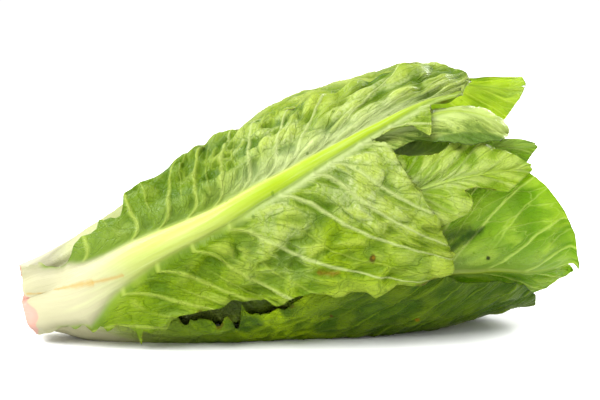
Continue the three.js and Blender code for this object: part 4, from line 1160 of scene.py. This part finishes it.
# %% The heart leaves
HEART_KEYS = ("grid", "teeth", "lumps", "ruffle", "vein_gap", "start", "reach", "rib", "wave", "turn",
              "shell")
HEART_TABLE = [  # the last pair is how wide each side is, in degrees, and how far ahead it goes
    ((110, 66), 1.2, 1.3, 1.6, 14, 50, 219, 0.45, 0.8, [(0, 100), (1, 98)],
     [(0, 0.45), (0.25, 0.6), (0.8, 0.66), (1, 0.6)], (62, 10)),
    ((100, 60), 1.2, 1.2, 1.6, 14, 55, 214, 0.4, 0.8, [(0, -160), (1, -150)],
     [(0, 0.56), (0.8, 0.56), (1, 0.48)], (66, 10)),
    ((90, 54), 1.0, 1.1, 1.4, 13, 60, 208, 0.35, 0.7, [(0, -40), (1, -20)],
     [(0, 0.46), (0.8, 0.45), (1, 0.38)], (70, 9)),
    ((80, 50), 1.0, 0.9, 1.2, 13, 64, 198, 0.3, 0.6, [(0, 60), (1, 70)],
     [(0, 0.34), (0.8, 0.33), (1, 0.26)], (74, 8)),
    ((70, 44), 0.8, 0.6, 0.9, 12, 68, 186, 0.3, 0.5, [(0, 190), (1, 200)],
     [(0, 0.22), (0.8, 0.2), (1, 0.16)], (70, 7)),
]
for number, (*sizes, outline) in enumerate(HEART_TABLE, 1):
    plan(name=f"heart_leaf_{number}", finish="heart", seed=110 + 10 * number, phase=number,
         up=fan(*outline), down=fan(*outline), **dict(zip(HEART_KEYS, sizes)))

# %% [markdown]
# ## Finishes and growth
#
# Light decides how green a leaf is. The outermost leaves are the greenest, the underside is
# darkest, with painted shade on its far half, and the heart is yellow. Some finishes also paint
# shade into folds and gaps. Then the leaves are laid from the inside out, each one gets its relief,
# and each stands in for its packed node.

# %% The finishes
FINISH_TABLE = {
    "front": dict(
        blade=(0.23, 0.345, 0.0, 1), deep=(0.075, 0.16, 0.0, 1), light=(0.42, 0.52, 0.06, 1),
        vein=(0.35, 0.45, 0.06, 1), pale_reach=0, glow=0.35, blanch=0.0, bloom=0.9, gloss=0.14,
        spots=[(142, -39, 1.7, BROWN), (142.5, -39, 0.8, RUST)],
        streaks=[(2, 4.3, 15, 1.5, 0.4, GROOVE), (15, 1.5, 31, -1, 0.9, GROOVE),
                 (31, -1, 43, -2.5, 0.5, GROOVE), (119, -32, 127, -36, 0.9, RUST)]),
    "outer": dict(
        blade=(0.33, 0.45, 0.006, 1), deep=(0.14, 0.26, 0.0, 1), light=(0.52, 0.61, 0.13, 1),
        vein=(0.44, 0.52, 0.10, 1), pale_reach=66, glow=0.5, bloom=0.7),
    # far paints shade on the undermost leaf beyond half way, where it faces the table
    "under": dict(
        blade=(0.36, 0.52, 0.0, 1), deep=(0.035, 0.085, 0.0, 1), light=(0.12, 0.19, 0.0, 1),
        vein=(0.13, 0.21, 0.003, 1), pale_reach=30, glow=0.2, blanch=0.4, bloom=0.0,
        far=(0.035, 0.075, 0.0, 1), gloss=0.1, spots=[(122, 38, 0.9, BROWN), (158, 33, 1.3, RUST)]),
    # painted shade: core away from the margin, two streaks under the lobe's fold, one dark hole
    "low": dict(
        blade=(0.33, 0.49, 0.003, 1), deep=(0.19, 0.36, 0.0, 1), light=(0.48, 0.62, 0.06, 1),
        vein=(0.66, 0.76, 0.20, 1), pale_reach=30, glow=0.65, bloom=0.15, core=0.7,
        spots=[(193, 6.5, 1.2, PAINTED_GAP_SHADE)],
        streaks=[(171, 18, 187, 18, 3.4, PAINTED_FOLD_SHADOW), (176, 12, 192, 18, 1.8, PAINTED_FOLD_SHADOW)]),
    "second": dict(
        blade=(0.25, 0.43, 0.0, 1), deep=(0.08, 0.19, 0.0, 1), light=(0.38, 0.52, 0.04, 1),
        vein=(0.46, 0.56, 0.12, 1), pale_reach=50, glow=0.5, bloom=0.2, veined=0.4),
    # painted shade: the streak is deep where this leaf shows through a gap between outer leaves
    "lobe": dict(
        blade=(0.30, 0.44, 0.006, 1), deep=(0.17, 0.31, 0.0, 1), light=(0.45, 0.56, 0.10, 1),
        vein=(0.46, 0.56, 0.12, 1), pale_reach=50, glow=0.4, bloom=0.6, veined=0.25, ribbed=0.2,
        streaks=[(30, -8, 100, -18, 9, PAINTED_GAP_SHADE)]),
    # painted shade: shaded darkens the underside of the rolled tip
    "waxy": dict(
        blade=(0.42, 0.54, 0.10, 1), deep=(0.05, 0.13, 0.0, 1), light=(0.56, 0.67, 0.20, 1),
        vein=(0.36, 0.48, 0.06, 1), pale_reach=50, glow=0.3, bloom=0.3, shaded=(-7.5, -10.5)),
    "lit": dict(
        blade=(0.46, 0.57, 0.04, 1), deep=(0.30, 0.43, 0.005, 1), light=(0.60, 0.70, 0.15, 1),
        vein=(0.66, 0.74, 0.20, 1), pale_reach=40, glow=0.7, bloom=0.2),
    "heart": dict(
        blade=(0.34, 0.42, 0.03, 1), deep=(0.25, 0.35, 0.01, 1), light=(0.45, 0.52, 0.13, 1),
        vein=(0.48, 0.53, 0.18, 1), pale_reach=80, glow=0.4, glow_colour=(1.0, 1.0, 0.15, 1)),
}
FINISHES = {key: leaf_finish("leaf_" + key, **values) for key, values in FINISH_TABLE.items()}
print("finishes:", list(FINISHES))


# %% Grow the head
def put(name, data):
    piece = bpy.data.objects.new(name, data)
    bpy.context.scene.collection.objects.link(piece)
    return piece


def lay_leaf(leaf):
    name = leaf["name"]
    piece = put(name + "_fine", blade_mesh(leaf))
    grown(piece, relief_tree, relief_sockets, {
        "Side vein height": leaf.get("ridge", 0.5), "Branch height": 0.25, "Pillow height": leaf["pillow"],
        "Pucker height": leaf["pucker"], "Finish": FINISHES[leaf["finish"]]})
    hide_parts(name)
    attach(piece, "root")
    return piece


fine_leaves = [lay_leaf(leaf) for leaf in reversed(LEAVES)]
print("leaf triangles:", sum(len(piece.data.polygons) * 2 for piece in fine_leaves))

# %% [markdown]
# ## The stem and its cut face
#
# All leaves grow from one short stem. A knife went across it, and the cut has dried to a dull
# pink. The face isn't quite flat: the pith in the middle shrinks, and the ring of vessels round
# it stands a little proud. The rest of the stem is inside the head.

# %% The stem
STEM_SIDES = 96


def stem_mesh():
    turns = np.arange(STEM_SIDES) * 2 * np.pi / STEM_SIDES
    face_radii = np.linspace(0.6, STEM[0][1] - STEM_GAP - 0.5, 14)
    side_a = np.concatenate([[0.25], np.linspace(1, STEM_LENGTH, 40)])
    dish = 0.35 - 0.35 * ease(face_radii, 1, 6) * (1 - ease(face_radii, 6, 7.4))
    a_rings = np.concatenate([dish, side_a])
    radii = np.concatenate([face_radii, stem_radius(side_a) - STEM_GAP])
    a, turn = np.meshgrid(a_rings, turns, indexing="ij")
    radius = radii[:, None] * (1 + 0.02 * np.sin(5 * turn + a * 0.3) + 0.012 * np.sin(13 * turn))
    points = head_point(a, turn, np.minimum(radius, radii[:, None])).reshape(-1, 3)
    caps = [head_point(np.array(end), np.array(0.0), np.array(0.0)) for end in (0.5, float(STEM_LENGTH))]
    points = np.concatenate([points, caps])
    ring = np.arange(len(a_rings) * STEM_SIDES).reshape(len(a_rings), STEM_SIDES)
    following = np.roll(ring, -1, axis=1)
    walls = np.stack([ring[:-1], ring[1:], following[1:], following[:-1]], axis=-1).reshape(-1, 4)
    first, last = len(points) - 2, len(points) - 1
    triangles = [(first, int(i), int(j)) for i, j in zip(ring[0], following[0])]
    triangles += [(last, int(j), int(i)) for i, j in zip(ring[-1], following[-1])]
    mesh = bpy.data.meshes.new("stem_fine")
    mesh.from_pydata((points * MM).tolist(), [], walls.tolist() + triangles)
    mesh.shade_smooth()
    depth = np.concatenate([a.ravel(), [0, STEM_LENGTH]])
    reach = np.concatenate([radius.ravel(), [0, 0]])
    note(mesh, "stem_map", depth, reach, np.concatenate([turn.ravel(), [0, 0]]))
    return mesh


fine_stem = stem_mesh()
print("stem faces:", len(fine_stem.polygons))

# %% [markdown]
# The cut face has rings round the pith, which is creamier, and its rim has dried the most. Round
# spots and a fine roughness break it up. The rings follow the notes of each point, how far up the
# stem and how far out it is, so they stay round.


# %% The stem's finish
def stem_finish():
    material, r = new_material("stem_flesh")
    a, reach, turn = r.parts("stem_map")
    place = r.add("ShaderNodeTexCoord", {}).outputs["Object"]
    rings = r.noise(r.join(reach, r.times(turn, 0.4)), 0.9, 3.0, 0.6)
    pith = r.fade(reach, 2.0, 6.0, 0.8, 0.0)
    rim = r.fade(reach, 6.8, 7.9, 0.0, 0.5)
    spots = r.fade(r.noise(place, 900.0, 2.0), 0.6, 0.75, 0.0, 0.5)
    colour = r.coated(CUT_PINK, [(r.fade(rings, 0.35, 0.65), (0.58, 0.36, 0.26, 1)),
                                 (pith, (0.56, 0.46, 0.33, 1)), (rim, (0.38, 0.17, 0.09, 1)),
                                 (spots, (0.36, 0.17, 0.10, 1)), (r.fade(a, 1.0, 2.5), CREAM)])
    rough = r.noise(place, 1500.0, 4.0, 0.7)
    bump = r.add("ShaderNodeBump", {"Strength": 0.5, "Distance": 0.0006, "Height": rough}).outputs[0]
    flesh = r.add("ShaderNodeBsdfPrincipled", {"Base Color": colour, "Roughness": 0.55, "Normal": bump})
    r.add("ShaderNodeOutputMaterial", {"Surface": flesh.outputs[0]})
    return material


stem = put("stem_fine", fine_stem)
stem.data.materials.append(stem_finish())
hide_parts("stem")
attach(stem, "root")
print("stem finish:", len(stem.data.materials[0].node_tree.nodes), "nodes")

# %% [markdown]
# ## Vessel ends
#
# Where the knife went through, the vessels that carried water show as small raised dots: a ring
# in the stem, and a row along each leaf's cut foot. They repeat along a path, so a Geometry Nodes
# tree puts one small dome on every point of a list, with a little spread in size from a seed.

# %% The vessel tree
vessel_inputs = [("Vessel radius", "Float"), ("Seed", "Int"), ("Finish", "Material")]
vessel_tree, vessel_sockets = new_tree("vessel_ends", "Points", vessel_inputs, "Vessels")


def build_vessels(tree):
    r = Recipe(tree)
    given = r.add("NodeGroupInput", {}).outputs
    dome = r.add("GeometryNodeMeshUVSphere", {"Segments": 10, "Rings": 6, "Radius": given["Vessel radius"]})
    spread = {"Min": 0.6, "Max": 1.15, "Seed": given["Seed"]}
    draw = r.add("FunctionNodeRandomValue", spread, data_type="FLOAT")
    size = r.join(draw.outputs["Value"], draw.outputs["Value"], draw.outputs["Value"])
    points = r.add("GeometryNodeMeshToPoints", {"Mesh": given["Points"]})
    placed = r.add("GeometryNodeInstanceOnPoints", {
        "Points": points.outputs[0], "Instance": dome.outputs[0], "Scale": size})
    real = r.add("GeometryNodeRealizeInstances", {"Geometry": placed.outputs[0]})
    coated = r.add("GeometryNodeSetMaterial", {"Geometry": real.outputs[0], "Material": given["Finish"]})
    r.add("NodeGroupOutput", {"Vessels": coated.outputs[0]})


build_vessels(vessel_tree)
print("vessel tree:", len(vessel_tree.nodes), "nodes")

# %% Vessel ends on the cut
RING_VESSELS = 22  # round the pith
FOOT_VESSELS = 10  # along each leaf's foot


def vessel_points():
    ring = np.arange(RING_VESSELS) * 2 * np.pi / RING_VESSELS
    dots = [head_point(np.full(RING_VESSELS, 0.3), ring, 6.2 + 0.4 * np.sin(3 * ring))]
    for foot in (leaf["foot"] for leaf in LEAVES if leaf["start"] == 0):
        along_foot = np.linspace(0.12 * len(foot), 0.88 * len(foot), FOOT_VESSELS)
        dots.append(foot[along_foot.astype(int)])
    return np.concatenate(dots)


def vessel_finish():
    material, r = new_material("vessel")
    place = r.add("ShaderNodeTexCoord", {}).outputs["Object"]
    colour = r.tint(r.noise(place, 700.0), (0.42, 0.20, 0.12, 1), (0.60, 0.44, 0.30, 1))
    dot = r.add("ShaderNodeBsdfPrincipled", {"Base Color": colour, "Roughness": 0.45})
    r.add("ShaderNodeOutputMaterial", {"Surface": dot.outputs[0]})
    return material


vessel_mesh = bpy.data.meshes.new("vessel_ends")
vessel_mesh.from_pydata((vessel_points() * MM).tolist(), [], [])
vessels = put("vessel_ends", vessel_mesh)
vessel_values = {"Vessel radius": 0.55 * MM, "Seed": 4, "Finish": vessel_finish()}
grown(vessels, vessel_tree, vessel_sockets, vessel_values)
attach(vessels, "root")
print("vessel ends:", len(vessels.data.polygons), "faces")

# %% [markdown]
# ## Stage, light and camera
#
# A broad soft key comes from the upper left in front, wide enough that shadows stay faint. Two
# small soft lights behind send some light through the thin flesh, and a white world fills the
# rest. The floor is plain and pale.

# %% Floor
FLOOR = 3.0  # half its width, in metres
floor_corners = [(-FLOOR, -FLOOR, 0), (FLOOR, -FLOOR, 0), (FLOOR, FLOOR, 0), (-FLOOR, FLOOR, 0)]
floor_mesh = bpy.data.meshes.new("floor")
floor_mesh.from_pydata(floor_corners, [], [(0, 1, 2, 3)])
floor = put("floor", floor_mesh)
floor_paint = bpy.data.materials.new("pale_floor")
floor_paint.use_nodes = True
floor_skin = floor_paint.node_tree.nodes["Principled BSDF"]
floor_skin.inputs["Base Color"].default_value = (0.9, 0.9, 0.9, 1)
floor_skin.inputs["Roughness"].default_value = 0.7
floor_mesh.materials.append(floor_paint)
floor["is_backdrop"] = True
print("floor:", 2 * FLOOR, "m wide")

# %% Light
MIDDLE = Vector((0, 0, 0.05))


def aimed(name, data, place, direction):
    """Puts a lamp or the camera at a place, facing along a direction."""
    holder = put(name, data)
    holder.location = place
    holder.rotation_mode = "QUATERNION"
    holder.rotation_quaternion = Vector(direction).to_track_quat("-Z", "Y")
    return holder


key = bpy.data.lights.new("key", "SUN")
key.energy = 4.6
key.angle = math.radians(40)
aimed("key", key, (0, 0, 0), (0.58, 0.48, -0.82))
for lamp_name, place, size, watts in (("back_right", (0.75, 0.55, 0.45), 0.4, 14),
                                      ("back_left", (-0.55, 0.5, 0.7), 0.5, 9)):
    lamp = bpy.data.lights.new(lamp_name, "AREA")
    lamp.size = size
    lamp.energy = watts
    aimed(lamp_name, lamp, place, MIDDLE - Vector(place))
world = bpy.data.worlds.new("studio")
world.use_nodes = True
world.node_tree.nodes["Background"].inputs["Color"].default_value = (1, 1, 1, 1)
world.node_tree.nodes["Background"].inputs["Strength"].default_value = 1.06
bpy.context.scene.world = world
bpy.context.scene.view_settings.view_transform = "Standard"
print("lamps:", [lamp.name for lamp in bpy.data.lights])

# %% Camera
AZIMUTH, ELEVATION = math.radians(-10), math.radians(8)
camera_data = bpy.data.cameras.new("camera")
camera_data.lens = 85
camera_data.sensor_width = 36
back = Vector((math.sin(AZIMUTH) * math.cos(ELEVATION), -math.cos(AZIMUTH) * math.cos(ELEVATION),
               math.sin(ELEVATION)))
camera = aimed("camera", camera_data, (-0.1078, -0.6173, 0.1454), -back)
bpy.context.scene.camera = camera
print("camera lens:", round(camera_data.lens), "mm")

# %% Sizes, and the end
seen_low, seen_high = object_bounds()
sizes = {"cad": [list(cad_low), list(cad_high)], "visual": [list(seen_low), list(seen_high)]}
print("visual box", [round(v, 4) for v in (*seen_low, *seen_high)])
